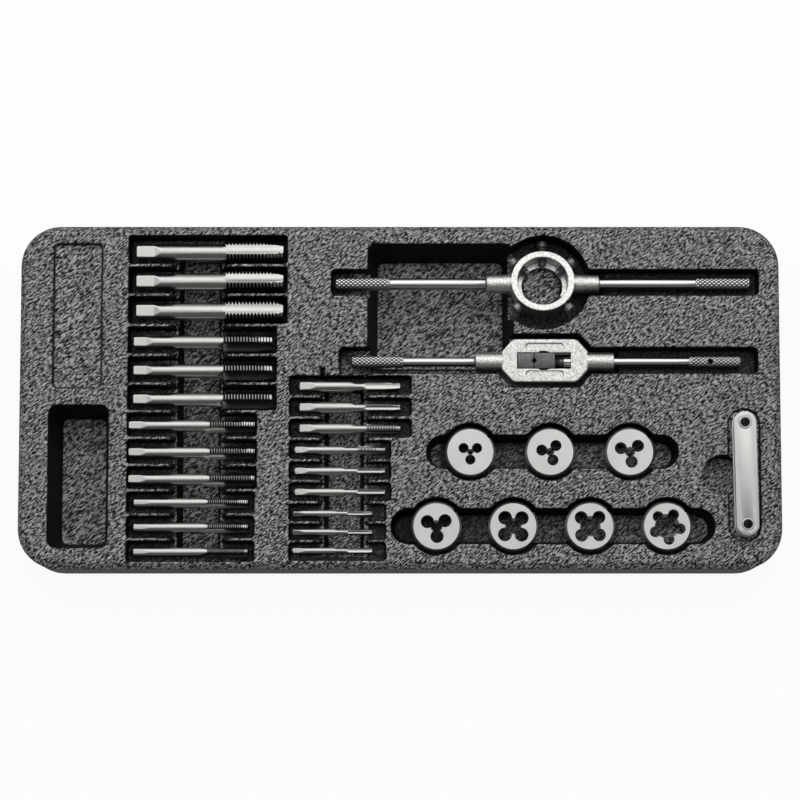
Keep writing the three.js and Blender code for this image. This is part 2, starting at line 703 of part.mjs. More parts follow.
function tapSolid(tap, turn) {
  const { majorDiameter: major, shankDiameter: shank, neckDiameter: neck, squareWidth: square } = tap;
  const { length, squareLength, threadLength: thread, pointLength: point } = tap;
  const threadStart = length - thread;
  const lead = LEAD_SHARES[turn] * thread;
  const radius = shank / 2;
  const endRadius = radius * (point > 0 ? POINTED_END_SHARE : PLAIN_END_SHARE);
  const profile = [[-point, 0], [0, endRadius], [END_CHAMFER_SHARE * squareLength, radius]];
  if (neck) {
    const neckStart = threadStart - tap.neckLength;
    profile.push([neckStart, radius], [neckStart + radius - neck / 2, neck / 2]);
    profile.push([threadStart, neck / 2]);
  } else {
    profile.push([threadStart, radius]);
  }
  const inside = Math.min(radius, major * ROOT_SHARE / 2, neck ? neck / 2 : radius);
  profile.push([threadStart + 2 * OVERRUN, inside], [threadStart + 2 * OVERRUN, 0]);
  const flats = block(
    -point - OVERRUN, squareLength, -square / 2, square / 2, -square / 2, square / 2,
  );
  const beyond = block(squareLength, length, -major, major, -major, major);
  const carrier = turned(profile, TAP_SIDES).intersect(flats.add(beyond));

  const section = new THREE.ExtrudeGeometry(flutedOutline(major / 2, tap.flutes, tap.turnShare), {
    depth: thread, bevelEnabled: false,
  });
  section.rotateY(Math.PI / 2);
  section.translate(threadStart, 0, 0);
  const clear = major / 2 + OVERRUN;
  const leadRadius = major / 2 / Math.cos(Math.PI / TAP_SIDES);
  const envelope = turned([
    [threadStart - OVERRUN, 0], [threadStart - OVERRUN, clear], [length - lead, clear],
    [length - lead, leadRadius], [length, LEAD_END_SHARE * major / 2], [length, 0],
  ], TAP_SIDES);
  const cutting = solidOf(section).intersect(envelope);
  if (point === 0) return carrier.add(cutting);
  const tipRadius = ROOT_SHARE * major / 2;
  const nose = turned([
    [length - OVERRUN, 0], [length - OVERRUN, tipRadius], [length, tipRadius], [length + point / 2, 0],
  ], TAP_SIDES);
  return joined([carrier, cutting, nose]);
}

function dieSolid(die) {
  const radius = DIE_DIAMETER / 2;
  const half = DIE_THICKNESS / 2;
  const rim = radius - DIE_CHAMFER;
  const disc = turned([
    [-half, 0], [-half, rim], [DIE_CHAMFER - half, radius],
    [half - DIE_CHAMFER, radius], [half, rim], [half, 0],
  ], DIE_SIDES);
  const standing = solidOf(geometryOf(disc).rotateY(-Math.PI / 2));
  const low = -half - OVERRUN;
  const high = half + OVERRUN;
  const cuts = [post(0, 0, low, high, die.coreDiameter / 2, FLUTE_HOLE_SIDES)];
  for (let i = 0; i < die.flutes; i += 1) {
    const angle = die.turn * DEGREE + i * 2 * Math.PI / die.flutes;
    const x = die.fluteCircleRadius * Math.cos(angle);
    const y = die.fluteCircleRadius * Math.sin(angle);
    cuts.push(post(x, y, low, high, die.fluteHoleDiameter / 2, FLUTE_HOLE_SIDES));
  }
  const notch = DIE_NOTCH_ANGLE * DEGREE;
  const [notchX, notchY] = [radius * Math.cos(notch), radius * Math.sin(notch)];
  cuts.push(post(notchX, notchY, low, high, DIE_NOTCH, FLUTE_HOLE_SIDES));
  return standing.subtract(joined(cuts));
}

// The die stock's head, with its face up and the handles along X
function headSolid() {
  const half = HEAD_THICKNESS / 2;
  const ring = post(0, 0, -half, half, HEAD_RADIUS, HEAD_SIDES);
  const boss = (side) => {
    const profile = [
      [HEAD_BORE_RADIUS + OVERRUN, 0], [HEAD_BORE_RADIUS + OVERRUN, STOCK_BOSS_ROOT_RADIUS],
      [STOCK_BOSS_REACH, STOCK_BOSS_END_RADIUS], [STOCK_BOSS_REACH, 0],
    ].map(([along, radius]) => [side * along, radius]);
    return turned(profile, ROD_SIDES);
  };
  const socket = (side) => bar(
    side * (STOCK_BOSS_REACH - ROD_SOCKET), side * (STOCK_BOSS_REACH + OVERRUN),
    STOCK_ROD_RADIUS + FIT_GAP, ROD_SIDES,
  );
  const seat = post(0, 0, HEAD_LEDGE - half, half + OVERRUN, HEAD_BORE_RADIUS, HEAD_SIDES);
  const through = post(0, 0, -half - OVERRUN, half, HEAD_LEDGE_RADIUS, HEAD_SIDES);
  const holes = SCREW_ANGLES.map((angle) => {
    const hole = bar(HEAD_LEDGE_RADIUS - OVERRUN, HEAD_RADIUS + OVERRUN, SCREW_RADIUS + FIT_GAP, SCREW_SIDES);
    return hole.rotate([0, 0, angle]);
  });
  const cuts = joined([seat, through, socket(1), socket(-1), ...holes]);
  return joined([ring, boss(1), boss(-1)]).subtract(cuts);
}

// A handle from its inner end to its knurled grip, reaching along +X
function handleSolid(inner, outer, rodRadius, gripRadius, grip) {
  return turned([
    [inner, 0], [inner, rodRadius], [outer - grip, rodRadius], [outer - grip, gripRadius],
    [outer - GRIP_CHAMFER, gripRadius], [outer, gripRadius - GRIP_CHAMFER], [outer, 0],
  ], ROD_SIDES);
}

// A clamping screw along +X, its tip towards the middle of the head
function screwSolid(standsOut) {
  const seat = SCREW_HEAD_SEAT + standsOut;
  const end = seat + SCREW_HEAD_HEIGHT;
  const body = turned([
    [SCREW_TIP_RADIUS, 0], [SCREW_TIP_RADIUS, SCREW_END_SHARE * SCREW_RADIUS],
    [SCREW_TIP_RADIUS + SCREW_TIP_TAPER, SCREW_RADIUS], [seat, SCREW_RADIUS],
    [seat, SCREW_HEAD_RADIUS], [end, SCREW_HEAD_RADIUS], [end, 0],
  ], SCREW_SIDES);
  const slot = block(
    end - SCREW_SLOT_DEPTH, end + OVERRUN, -SCREW_HEAD_RADIUS - OVERRUN, SCREW_HEAD_RADIUS + OVERRUN,
    -SCREW_SLOT_WIDTH / 2, SCREW_SLOT_WIDTH / 2,
  );
  return body.subtract(slot);
}

// The wrench body: a flat casting with a window for the jaws and a boss at each end
function wrenchBodySolid() {
  const half = BODY_THICKNESS / 2;
  const plate = prism(polygonOutline(bodyOutline(0)), -half, half);
  const bosses = bar(-WRENCH_BOSS_REACH, WRENCH_BOSS_REACH, WRENCH_BOSS_RADIUS, ROD_SIDES);
  const window = block(
    WINDOW_LEFT, WINDOW_RIGHT, -WINDOW_HALF_WIDTH, WINDOW_HALF_WIDTH,
    -WRENCH_BOSS_RADIUS - OVERRUN, WRENCH_BOSS_RADIUS + OVERRUN,
  );
  const guideHalf = WINDOW_HALF_WIDTH + GUIDE_DEPTH;
  const guide = block(WINDOW_LEFT, WINDOW_RIGHT, -guideHalf, guideHalf, -GUIDE_HEIGHT / 2, GUIDE_HEIGHT / 2);
  const socket = bar(
    -WRENCH_BOSS_REACH - OVERRUN, -WRENCH_BOSS_REACH + ROD_SOCKET, WRENCH_ROD_RADIUS + FIT_GAP, ROD_SIDES,
  );
  const nut = bar(WINDOW_RIGHT - OVERRUN, WRENCH_BOSS_REACH + OVERRUN, WRENCH_ROD_RADIUS + FIT_GAP, ROD_SIDES);
  return plate.add(bosses).subtract(joined([window, guide, socket, nut]));
}

// A jaw between two places along the window, guided at both sides, notched for the tap's square
function jawSolid(left, right, notchX) {
  const width = WINDOW_HALF_WIDTH - FIT_GAP;
  const tongue = width + GUIDE_DEPTH;
  const half = BODY_THICKNESS / 2;
  const guideHalf = GUIDE_HEIGHT / 2 - FIT_GAP;
  const jaw = block(left, right, -width, width, -half, half).add(
    block(left, right, -tongue, tongue, -guideHalf, guideHalf),
  );
  const diamond = [
    [notchX - JAW_NOTCH, 0], [notchX, -JAW_NOTCH], [notchX + JAW_NOTCH, 0], [notchX, JAW_NOTCH],
  ];
  return jaw.subtract(prism(polygonOutline(diamond), -half - OVERRUN, half + OVERRUN));
}

// The screw handle: spindle end in the window, collar, rod, and a grip with a cross hole
function screwHandleSolid() {
  const start = JAW_END + FIT_GAP;
  const outer = WRENCH_REACH_RIGHT;
  const gripStart = outer - WRENCH_GRIP;
  const body = turned([
    [start, 0], [start, SPINDLE_RADIUS], [SPINDLE_COLLAR, SPINDLE_RADIUS],
    [SPINDLE_COLLAR, SPINDLE_COLLAR_RADIUS], [WRENCH_BOSS_REACH, WRENCH_ROD_RADIUS],
    [gripStart, WRENCH_ROD_RADIUS], [gripStart, WRENCH_GRIP_RADIUS],
    [outer - GRIP_CHAMFER, WRENCH_GRIP_RADIUS], [outer, WRENCH_GRIP_RADIUS - GRIP_CHAMFER], [outer, 0],
  ], ROD_SIDES);
  const holeX = outer - CROSS_HOLE_FROM_END;
  const reach = WRENCH_GRIP_RADIUS + OVERRUN;
  return body.subtract(post(holeX, 0, -reach, reach, CROSS_HOLE_RADIUS, SCREW_SIDES));
}

function cheekSolid() {
  const half = GAUGE_EYELET_SPAN / 2;
  const reach = half + GAUGE_HALF_WIDTH;
  const outline = roundedOutline(
    -GAUGE_HALF_WIDTH, GAUGE_HALF_WIDTH, -reach, reach, GAUGE_HALF_WIDTH - FIT_GAP / 2,
  );
  const plate = prism(outline, 0, CHEEK, CHEEK_ARC_STEPS);
  const hole = (y) => post(0, y, -OVERRUN, CHEEK + OVERRUN, EYELET_RADIUS + FIT_GAP / 2, GAUGE_SIDES);
  return plate.subtract(hole(half).add(hole(-half)));
}

function gaugeThickness() {
  return 2 * CHEEK + (LEAVES + 1) * LEAF_GAP + LEAVES * LEAF;
}

// An eyelet: a tube rolled out to a flange at both ends, about Z from the lower flange up
function eyeletSolid() {
  const top = gaugeThickness() + 2 * EYELET_FLANGE;
  const low = EYELET_FLANGE - FIT_GAP / 2;
  const high = top - low;
  const outer = joined([
    post(0, 0, 0, low, EYELET_FLANGE_RADIUS, GAUGE_SIDES),
    post(0, 0, 0, top, EYELET_RADIUS, GAUGE_SIDES),
    post(0, 0, high, top, EYELET_FLANGE_RADIUS, GAUGE_SIDES),
  ]);
  return outer.subtract(post(0, 0, -OVERRUN, top + OVERRUN, EYELET_HOLE_RADIUS, GAUGE_SIDES));
}

// A leaf on its eyelet at the origin, reaching along -Y
function leafSolid() {
  const hub = post(0, 0, 0, LEAF, LEAF_ROOT_RADIUS, GAUGE_SIDES);
  const tip = LEAF_TIP_SHARE * LEAF_HALF_WIDTH;
  const blade = prism(polygonOutline([
    [-LEAF_HALF_WIDTH, 0], [-LEAF_HALF_WIDTH, LEAF_HALF_WIDTH - LEAF_REACH], [-tip, -LEAF_REACH],
    [tip, -LEAF_REACH], [LEAF_HALF_WIDTH, LEAF_HALF_WIDTH - LEAF_REACH], [LEAF_HALF_WIDTH, 0],
  ]), 0, LEAF);
  const hole = post(0, 0, -OVERRUN, LEAF + OVERRUN, EYELET_RADIUS + FIT_GAP / 2, GAUGE_SIDES);
  return hub.add(blade).subtract(hole);
}

function piece(name, solid, finish) {
  const mesh = new THREE.Mesh(geometryOf(solid), new THREE.MeshStandardMaterial(FINISH[finish]));
  mesh.name = name;
  return mesh;
}

function placed(object, x, y, z) {
  object.position.set(x, y, z);
  return object;
}

function tapPieces(column) {
  return columnRows(column).map(({ size, turn, y, start }) => {
    const name = `tap_${size.toLowerCase()}_${SET[turn]}`;
    return placed(piece(name, tapSolid(TAPS[size], turn), 'tap'), start, y, tapAxis(size));
  });
}

function diePieces(row) {
  const middle = DECK - DIE_SINK - DIE_THICKNESS / 2;
  return row.sizes.map((size, i) => (
    placed(piece(`die_${size.toLowerCase()}`, dieSolid(DIES[size]), 'die'), dieX(row, i), row.y, middle)
  ));
}

function dieStock() {
  const stock = new THREE.Group();
  stock.add(piece('stock_head', headSolid(), 'casting'));
  const inner = STOCK_BOSS_REACH - ROD_SOCKET + FIT_GAP;
  for (const [name, side] of [['stock_handle_right', 1], ['stock_handle_left', -1]]) {
    const rod = handleSolid(inner, STOCK_REACH, STOCK_ROD_RADIUS, STOCK_GRIP_RADIUS, STOCK_GRIP);
    const handle = piece(name, rod, 'handle');
    handle.rotation.z = side > 0 ? 0 : Math.PI;
    stock.add(handle);
  }
  SCREW_ANGLES.forEach((angle, i) => {
    const standsOut = i === 0 ? POINT_SCREW_STANDS_OUT : 0;
    const screw = piece(`stock_screw_${SCREW_NAMES[i]}`, screwSolid(standsOut), 'screw');
    screw.rotation.z = angle * DEGREE;
    stock.add(screw);
  });
  stock.rotation.x = -STOCK_ROLL * DEGREE;
  return placed(stock, STOCK_X, STOCK_Y, DECK - STOCK_AXIS_DEPTH);
}

function tapWrench() {
  const wrench = new THREE.Group();
  wrench.add(piece('wrench_body', wrenchBodySolid(), 'casting'));
  const fixedJaw = jawSolid(WINDOW_LEFT + FIT_GAP, JAW_MEET - FIT_GAP, JAW_MEET - FIT_GAP);
  wrench.add(piece('wrench_fixed_jaw', fixedJaw, 'jaw'));
  wrench.add(piece('wrench_sliding_jaw', jawSolid(JAW_MEET, JAW_END, JAW_MEET), 'jaw'));
  const inner = WRENCH_BOSS_REACH - ROD_SOCKET + FIT_GAP;
  const rod = handleSolid(inner, WRENCH_REACH_LEFT, WRENCH_ROD_RADIUS, WRENCH_GRIP_RADIUS, WRENCH_GRIP);
  const fixedHandle = piece('wrench_fixed_handle', rod, 'handle');
  fixedHandle.rotation.z = Math.PI;
  wrench.add(fixedHandle);
  wrench.add(piece('wrench_screw_handle', screwHandleSolid(), 'handle'));
  return placed(wrench, WRENCH_X, WRENCH_Y, DECK - WRENCH_AXIS_DEPTH);
}

function pitchGauge() {
  const gauge = new THREE.Group();
  const half = GAUGE_EYELET_SPAN / 2;
  const lowCheek = EYELET_FLANGE;
  gauge.add(placed(piece('gauge_cheek_lower', cheekSolid(), 'gauge'), 0, 0, lowCheek));
  const highCheek = lowCheek + gaugeThickness() - CHEEK;
  gauge.add(placed(piece('gauge_cheek_upper', cheekSolid(), 'gauge'), 0, 0, highCheek));
  gauge.add(placed(piece('gauge_eyelet_back', eyeletSolid(), 'gauge'), 0, half, 0));
  gauge.add(placed(piece('gauge_eyelet_front', eyeletSolid(), 'gauge'), 0, -half, 0));
  for (let i = 0; i < LEAVES; i += 1) {
    const atBack = i % 2 === 0;
    const leaf = piece(`gauge_leaf_${i + 1}`, leafSolid(), 'gauge');
    leaf.rotation.z = atBack ? 0 : Math.PI;
    const level = lowCheek + CHEEK + LEAF_GAP + i * (LEAF + LEAF_GAP);
    gauge.add(placed(leaf, 0, atBack ? half : -half, level));
  }
  gauge.rotation.z = GAUGE_TURN * DEGREE;
  return placed(gauge, GAUGE_X, GAUGE_Y, gaugeBase());
}

const tapAndDieTray = new THREE.Group();
tapAndDieTray.add(piece('tray', traySolid(), 'tray'));
tapAndDieTray.add(...tapPieces(LARGE_COLUMN), ...tapPieces(SMALL_COLUMN));
tapAndDieTray.add(...DIE_ROWS.flatMap(diePieces));
tapAndDieTray.add(dieStock(), tapWrench(), pitchGauge());

export default tapAndDieTray;
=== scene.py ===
"""Tap and die tray: a formed black tray with ground taps, round dies, a die stock, a tap wrench and a
thread gauge. Shapes are made in millimetres, about their own middle, and then placed on the frame."""

import math

import bmesh
import bpy
from mathutils import Matrix, Vector

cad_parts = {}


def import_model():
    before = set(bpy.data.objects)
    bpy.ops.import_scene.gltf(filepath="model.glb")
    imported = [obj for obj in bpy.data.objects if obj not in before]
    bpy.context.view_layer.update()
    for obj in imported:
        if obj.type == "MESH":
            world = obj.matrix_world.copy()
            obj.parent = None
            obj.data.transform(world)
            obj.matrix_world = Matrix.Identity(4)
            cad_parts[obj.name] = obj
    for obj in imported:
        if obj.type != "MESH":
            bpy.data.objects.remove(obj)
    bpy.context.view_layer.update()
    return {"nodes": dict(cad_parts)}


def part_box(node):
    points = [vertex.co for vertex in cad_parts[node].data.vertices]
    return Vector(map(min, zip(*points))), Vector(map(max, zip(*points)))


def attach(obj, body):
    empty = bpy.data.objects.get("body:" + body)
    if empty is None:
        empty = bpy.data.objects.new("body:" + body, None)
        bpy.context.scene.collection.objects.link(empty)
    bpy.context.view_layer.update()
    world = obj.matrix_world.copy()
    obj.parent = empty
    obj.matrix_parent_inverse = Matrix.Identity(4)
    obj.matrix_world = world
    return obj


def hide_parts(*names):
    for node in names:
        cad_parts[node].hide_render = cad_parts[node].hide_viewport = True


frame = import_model()
NODES = frame["nodes"]

MM = 0.001
TURN = 2 * math.pi
# Points nearer to each other than this are one point
WELD = 0.002
# Steps round a large and a small circle
ROUND = 96
HOLE_ROUND = 40
# How far a cutter runs past the face that it cuts
OVERRUN = 1
# Play of a rod in its socket and of a screw in its hole
FIT = 0.3
# Depth of a thread as a share of its pitch, and the slope of its flanks
THREAD_DEPTH = 0.54
FLANK_SLOPE = math.radians(60)
EDGE_ANGLE = math.radians(40)

# Shape tools


def held(value, low=0, high=1):
    """A value kept between two limits."""
    return max(low, min(high, value))


def linked(name, data):
    """A new object in the scene."""
    obj = bpy.data.objects.new(name, data)
    bpy.context.scene.collection.objects.link(obj)
    return obj


def spun(profile, steps, closed=False):
    """A solid from (along, radius) points, turned about the X axis."""
    bm = bmesh.new()
    verts = [bm.verts.new((along, 0, radius)) for along, radius in profile]
    pairs = list(zip(verts, verts[1:])) + ([(verts[-1], verts[0])] if closed else [])
    edges = [bm.edges.new(pair) for pair in pairs]
    bmesh.ops.spin(
        bm, geom=verts + edges, cent=(0, 0, 0), axis=(1, 0, 0), dvec=(0, 0, 0),
        angle=TURN, steps=steps, use_merge=True,
    )
    bmesh.ops.remove_doubles(bm, verts=bm.verts, dist=WELD)
    bmesh.ops.recalc_face_normals(bm, faces=bm.faces)
    return bm


def upright(bm):
    """Turns a solid made about the X axis so that it stands along Z."""
    bmesh.ops.rotate(bm, verts=bm.verts, matrix=Matrix.Rotation(-TURN / 4, 3, "Y"))
    return bm


def moved(bm, offset=(0, 0, 0), angle=0, axis="Z"):
    """Turns a solid about an axis through the origin, then moves it."""
    bmesh.ops.rotate(bm, verts=bm.verts, matrix=Matrix.Rotation(angle, 3, axis))
    bmesh.ops.translate(bm, verts=bm.verts, vec=offset)
    return bm


def post(x, y, low, high, radius, steps=HOLE_ROUND):
    """A round bar that stands along Z."""
    bm = bmesh.new()
    bmesh.ops.create_cone(
        bm, cap_ends=True, segments=steps, radius1=radius, radius2=radius, depth=high - low,
    )
    return moved(bm, (x, y, (low + high) / 2))


def block(low, high):
    """A box between two corners."""
    bm = bmesh.new()
    bmesh.ops.create_cube(bm, size=1)
    low, high = Vector(low), Vector(high)
    bmesh.ops.scale(bm, verts=bm.verts, vec=high - low)
    return moved(bm, (low + high) / 2)


def plate(outline, low, high):
    """A flat piece from an outline of (x, y) points."""
    bm = bmesh.new()
    face = bm.faces.new([bm.verts.new((x, y, low)) for x, y in outline])
    raised = bmesh.ops.extrude_face_region(bm, geom=[face])["geom"]
    verts = [item for item in raised if isinstance(item, bmesh.types.BMVert)]
    bmesh.ops.translate(bm, verts=verts, vec=(0, 0, high - low))
    bmesh.ops.recalc_face_normals(bm, faces=bm.faces)
    return bm


def as_mesh(name, bm):
    """Turns a solid into a mesh and frees it."""
    mesh = bpy.data.meshes.new(name)
    bm.to_mesh(mesh)
    bm.free()
    return mesh


def merged(shells):
    """Several closed shells in one mesh."""
    whole = bmesh.new()
    for shell in shells:
        mesh = as_mesh("shell", shell)
        whole.from_mesh(mesh)
        bpy.data.meshes.remove(mesh)
    return whole


def worked(bm, joins=(), cuts=(), edge=0, edge_steps=2, voxel=0, soften=0, share=1):
    """Joins and cuts a solid, rounds its edges, or remeshes, softens and thins it, by modifiers."""
    base = linked("working", as_mesh("working", bm))
    helpers = []
    for operation, others in (("UNION", joins), ("DIFFERENCE", cuts)):
        for other in others:
            helper = linked("working", as_mesh("working", other))
            helpers.append(helper)
            boolean = base.modifiers.new("boolean", "BOOLEAN")
            boolean.object, boolean.operation, boolean.solver = helper, operation, "EXACT"
    if edge:
        bevel = base.modifiers.new("edges", "BEVEL")
        bevel.width, bevel.segments, bevel.limit_method = edge, edge_steps, "ANGLE"
        bevel.angle_limit = EDGE_ANGLE
    if voxel:
        remesh = base.modifiers.new("remesh", "REMESH")
        remesh.mode, remesh.voxel_size = "VOXEL", voxel
    if soften:
        smooth = base.modifiers.new("soften", "SMOOTH")
        smooth.factor, smooth.iterations = 0.5, soften
    if share < 1:
        thin = base.modifiers.new("thin", "DECIMATE")
        thin.decimate_type, thin.ratio = "COLLAPSE", share
    graph = bpy.context.evaluated_depsgraph_get()
    made = bpy.data.meshes.new_from_object(base.evaluated_get(graph), depsgraph=graph)
    result = bmesh.new()
    result.from_mesh(made)
    for obj in [base, *helpers]:
        bpy.data.meshes.remove(obj.data)
    bpy.data.meshes.remove(made)
    return result


def piece(name, bm, body, materials, nodes, sharp=35):
    """A finished mesh in metres that rides on its body and stands for its nodes."""
    bmesh.ops.scale(bm, verts=bm.verts, vec=(MM, MM, MM))
    mesh = as_mesh(name, bm)
    mesh.shade_smooth()
    mesh.set_sharp_from_angle(angle=math.radians(sharp))
    for material in materials:
        mesh.materials.append(material)
    obj = linked(name, mesh)
    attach(obj, body)
    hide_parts(*nodes)
    return obj


def box_mm(node):
    """The low and the high corner of a node of the frame."""
    low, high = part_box(node)
    return low / MM, high / MM


def middle_mm(node):
    """The middle of a node's box."""
    low, high = box_mm(node)
    return (low + high) / 2


# Materials


def linear(colour):
    """An sRGB hex colour as linear values."""
    parts = [int(colour[i:i + 2], 16) / 255 for i in (1, 3, 5)]
    return [c / 12.92 if c <= 0.04045 else ((c + 0.055) / 1.055) ** 2.4 for c in parts] + [1]


def add(tree, kind, settings=None, **inputs):
    """Adds a node. A setting is an attribute; an input is a socket to link or a value to set."""
    node = tree.nodes.new(kind)
    for key, value in (settings or {}).items():
        setattr(node, key, value)
    for key, value in inputs.items():
        name = key.replace("_", " ")
        socket = next(s for s in node.inputs if s.name == name and s.enabled)
        if isinstance(value, bpy.types.NodeSocket):
            tree.links.new(value, socket)
        else:
            socket.default_value = value
    return node


def material(name, colour, metallic, roughness):
    """A new material with its shader set to plain values, its object coordinates, and its tree."""
    made = bpy.data.materials.new(name)
    made.use_nodes = True
    tree = made.node_tree
    shader = tree.nodes["Principled BSDF"]
    shader.inputs["Base Color"].default_value = linear(colour)
    shader.inputs["Metallic"].default_value = metallic
    shader.inputs["Roughness"].default_value = roughness
    place = add(tree, "ShaderNodeTexCoord").outputs["Object"]
    return made, tree, shader, place


def stretched(tree, place, lengths, turn=0):
    """Coordinates for a pattern that is this many times longer along each axis, turned about Z."""
    return add(
        tree, "ShaderNodeMapping", {"vector_type": "TEXTURE"},
        Vector=place, Rotation=(0, 0, turn), Scale=lengths,
    ).outputs["Vector"]


def noise(tree, place, per_mm, detail=2, distortion=0):
    """A noise of 0 to 1 with this many spots to a millimetre."""
    return add(
        tree, "ShaderNodeTexNoise",
        Vector=place, Scale=per_mm / MM, Detail=detail, Distortion=distortion,
    ).outputs["Fac"]


def ranged(tree, value, low, high, to_low, to_high):
    """Maps a value from one range to another, with its ends held."""
    node = add(tree, "ShaderNodeMapRange", {"clamp": True}, Value=value)
    for key, number in (("From Min", low), ("From Max", high), ("To Min", to_low), ("To Max", to_high)):
        node.inputs[key].default_value = number
    return node.outputs["Result"]


def calculated(tree, operation, first, second):
    """Two values worked into one. The first is linked, and the second is a link or a number."""
    node = add(tree, "ShaderNodeMath", {"operation": operation})
    tree.links.new(first, node.inputs[0])
    if isinstance(second, bpy.types.NodeSocket):
        tree.links.new(second, node.inputs[1])
    else:
        node.inputs[1].default_value = second
    return node.outputs[0]


def blended(tree, share, first, second):
    """A colour between two hex colours."""
    node = add(tree, "ShaderNodeMix", {"data_type": "RGBA"})
    tree.links.new(share, node.inputs[0])
    node.inputs[6].default_value = linear(first)
    node.inputs[7].default_value = linear(second)
    return node.outputs[2]


def bumped(tree, shader, height, depth, below=None):
    """Raises the surface by a height of 0 to 1 times a depth in millimetres."""
    node = add(tree, "ShaderNodeBump", Height=height, Distance=depth * MM, Strength=1)
    if below:
        tree.links.new(below, node.inputs["Normal"])
    tree.links.new(node.outputs["Normal"], shader.inputs["Normal"])
    return node.outputs["Normal"]


# The leather grain is drawn a little coarser than the real one, so that it shows
GRAIN_PER_MM = 1.7
GRAIN_LENGTHS = (3.3, 1, 1.4)
GRAIN_TURN = math.radians(38)
GRAIN_CRESTS = (0.43, 0.62)
# How far up a face looks before its grain crests take the painted sheen and the lower crest roughness
SHEEN_AND_GLOSS_FACING = (0.6, 0.97)
# Share of the painted sheen that the grain crests keep in the narrow slots, which are painted shaded
PAINTED_SHEEN_LEFT_IN_SLOTS = 0.12
WALL_ROUGHNESS, CREST_ROUGHNESS = 0.65, 0.42
ABS_SPECULAR = 0.22


def grained_abs():
    """Black ABS sheet, vacuum formed, with a slanting leather grain and satin crests in its bump. The
    grain crests of the upward faces are painted pale as a painted sheen; the walls stay black, and the
    narrow slots stay nearly black as painted shade."""
    made, tree, shader, place = material("black_grained_abs_sheet", "#2a2a2b", 0, 0.45)
    shader.inputs["Specular IOR Level"].default_value = ABS_SPECULAR
    slanted = stretched(tree, place, GRAIN_LENGTHS, GRAIN_TURN)
    streaks = noise(tree, slanted, GRAIN_PER_MM, detail=1, distortion=0.5)
    crests = ranged(tree, streaks, *GRAIN_CRESTS, 0, 1)
    normal = add(tree, "ShaderNodeTexCoord").outputs["Normal"]
    facing = add(tree, "ShaderNodeSeparateXYZ", Vector=normal)
    flat = ranged(tree, facing.outputs["Z"], *SHEEN_AND_GLOSS_FACING, 0, 1)
    sway = noise(tree, place, per_mm=0.03, detail=1)
    bumped(tree, shader, crests, depth=0.35, below=bumped(tree, shader, sway, depth=1.2))
    narrow = add(tree, "ShaderNodeAttribute", {"attribute_name": "narrow"}).outputs["Fac"]
    kept = ranged(tree, narrow, 0, 1, 1, PAINTED_SHEEN_LEFT_IN_SLOTS)
    # Painted sheen: the grain crests of upward faces outside the narrow slots are painted pale;
    # elsewhere the black stays as painted shade
    formed = calculated(tree, "MULTIPLY", crests, calculated(tree, "MULTIPLY", flat, kept))
    tree.links.new(blended(tree, formed, "#060607", "#c6c6c7"), shader.inputs["Base Color"])
    gloss = ranged(tree, flat, 0, 1, WALL_ROUGHNESS, CREST_ROUGHNESS)
    tree.links.new(gloss, shader.inputs["Roughness"])
    return made


def ground_steel(name, colour, roughness, lengths=(1, 1, 1), depth=0.012, groove=False):
    """Bright ground or plated steel: grinding lines that spread the light across them, and painted shade
    that darkens the deep part of the grooves of a knurl or a thread. The lines are drawn coarser than
    real ones, so that they show."""
    made, tree, shader, place = material(name, colour, 1, roughness)
    lines = noise(tree, stretched(tree, place, lengths), per_mm=1.6, detail=3)
    cloud = noise(tree, place, per_mm=0.12)
    bumped(tree, shader, lines, depth)
    gloss = ranged(tree, cloud, 0.3, 0.7, roughness * 0.85, roughness * 1.2)
    tree.links.new(gloss, shader.inputs["Roughness"])
    if groove:
        # Painted shade: the deepest part of each thread root and knurl valley is painted near black
        sunk = add(tree, "ShaderNodeAttribute", {"attribute_name": "groove"}).outputs["Fac"]
        groove_shade = ranged(tree, sunk, 0.65, 0.95, 0, 1)
        tree.links.new(blended(tree, groove_shade, colour, "#1a1a1b"), shader.inputs["Base Color"])
    return made


def cast_zinc():
    """Die-cast zinc, shot blasted: pale, with a sandy skin and a soft sheen. The marks of the blast are
    drawn coarser than the real ones, so that they show."""
    made, tree, shader, place = material("blasted_zinc_casting", "#c4c4c1", 1, 0.42)
    bumped(tree, shader, noise(tree, place, per_mm=1.5, detail=3), depth=0.16)
    cloud = ranged(tree, noise(tree, place, per_mm=1.1, detail=4), 0.35, 0.65, 0, 1)
    tree.links.new(blended(tree, cloud, "#aeaeab", "#e4e4e1"), shader.inputs["Base Color"])
    return made


def black_oxide(name, colour, lighter, roughness):
    """Black-oxide steel: dark, a little oily, with a fine etched skin that has worn paler in places."""
    made, tree, shader, place = material(name, colour, 0.85, roughness)
    bumped(tree, shader, noise(tree, place, per_mm=3), depth=0.02)
    worn = ranged(tree, noise(tree, place, per_mm=0.5, detail=3), 0.45, 0.75, 0, 1)
    tree.links.new(blended(tree, worn, colour, lighter), shader.inputs["Base Color"])
    return made


GRAINED_ABS = grained_abs()
TAP_STEEL = ground_steel("ground_tap_steel", "#b0b0ad", 0.28, (1, 4, 4), groove=True)
DIE_STEEL = ground_steel("satin_die_steel", "#bdbdbb", 0.36, (1, 1, 3))
ROD_CHROME = ground_steel("bright_nickel_rod", "#c6c6c5", 0.22, (5, 1, 1), 0.004, groove=True)
GAUGE_NICKEL = ground_steel("satin_nickel_sheet", "#b8b8b6", 0.36, (2.5, 0.7, 1), 0.02)
CAST_ZINC = cast_zinc()
SCREW_BLACK = black_oxide("black_oxide_screw", "#6e6e6f", "#929293", 0.42)
JAW_DARK = black_oxide("dark_hardened_jaw", "#5e5e5f", "#6e6e6f", 0.45)

# Tray

GRAIN_VOXEL = 0.6
TRAY_SOFTEN = 8
TRAY_TRIANGLES = 190000
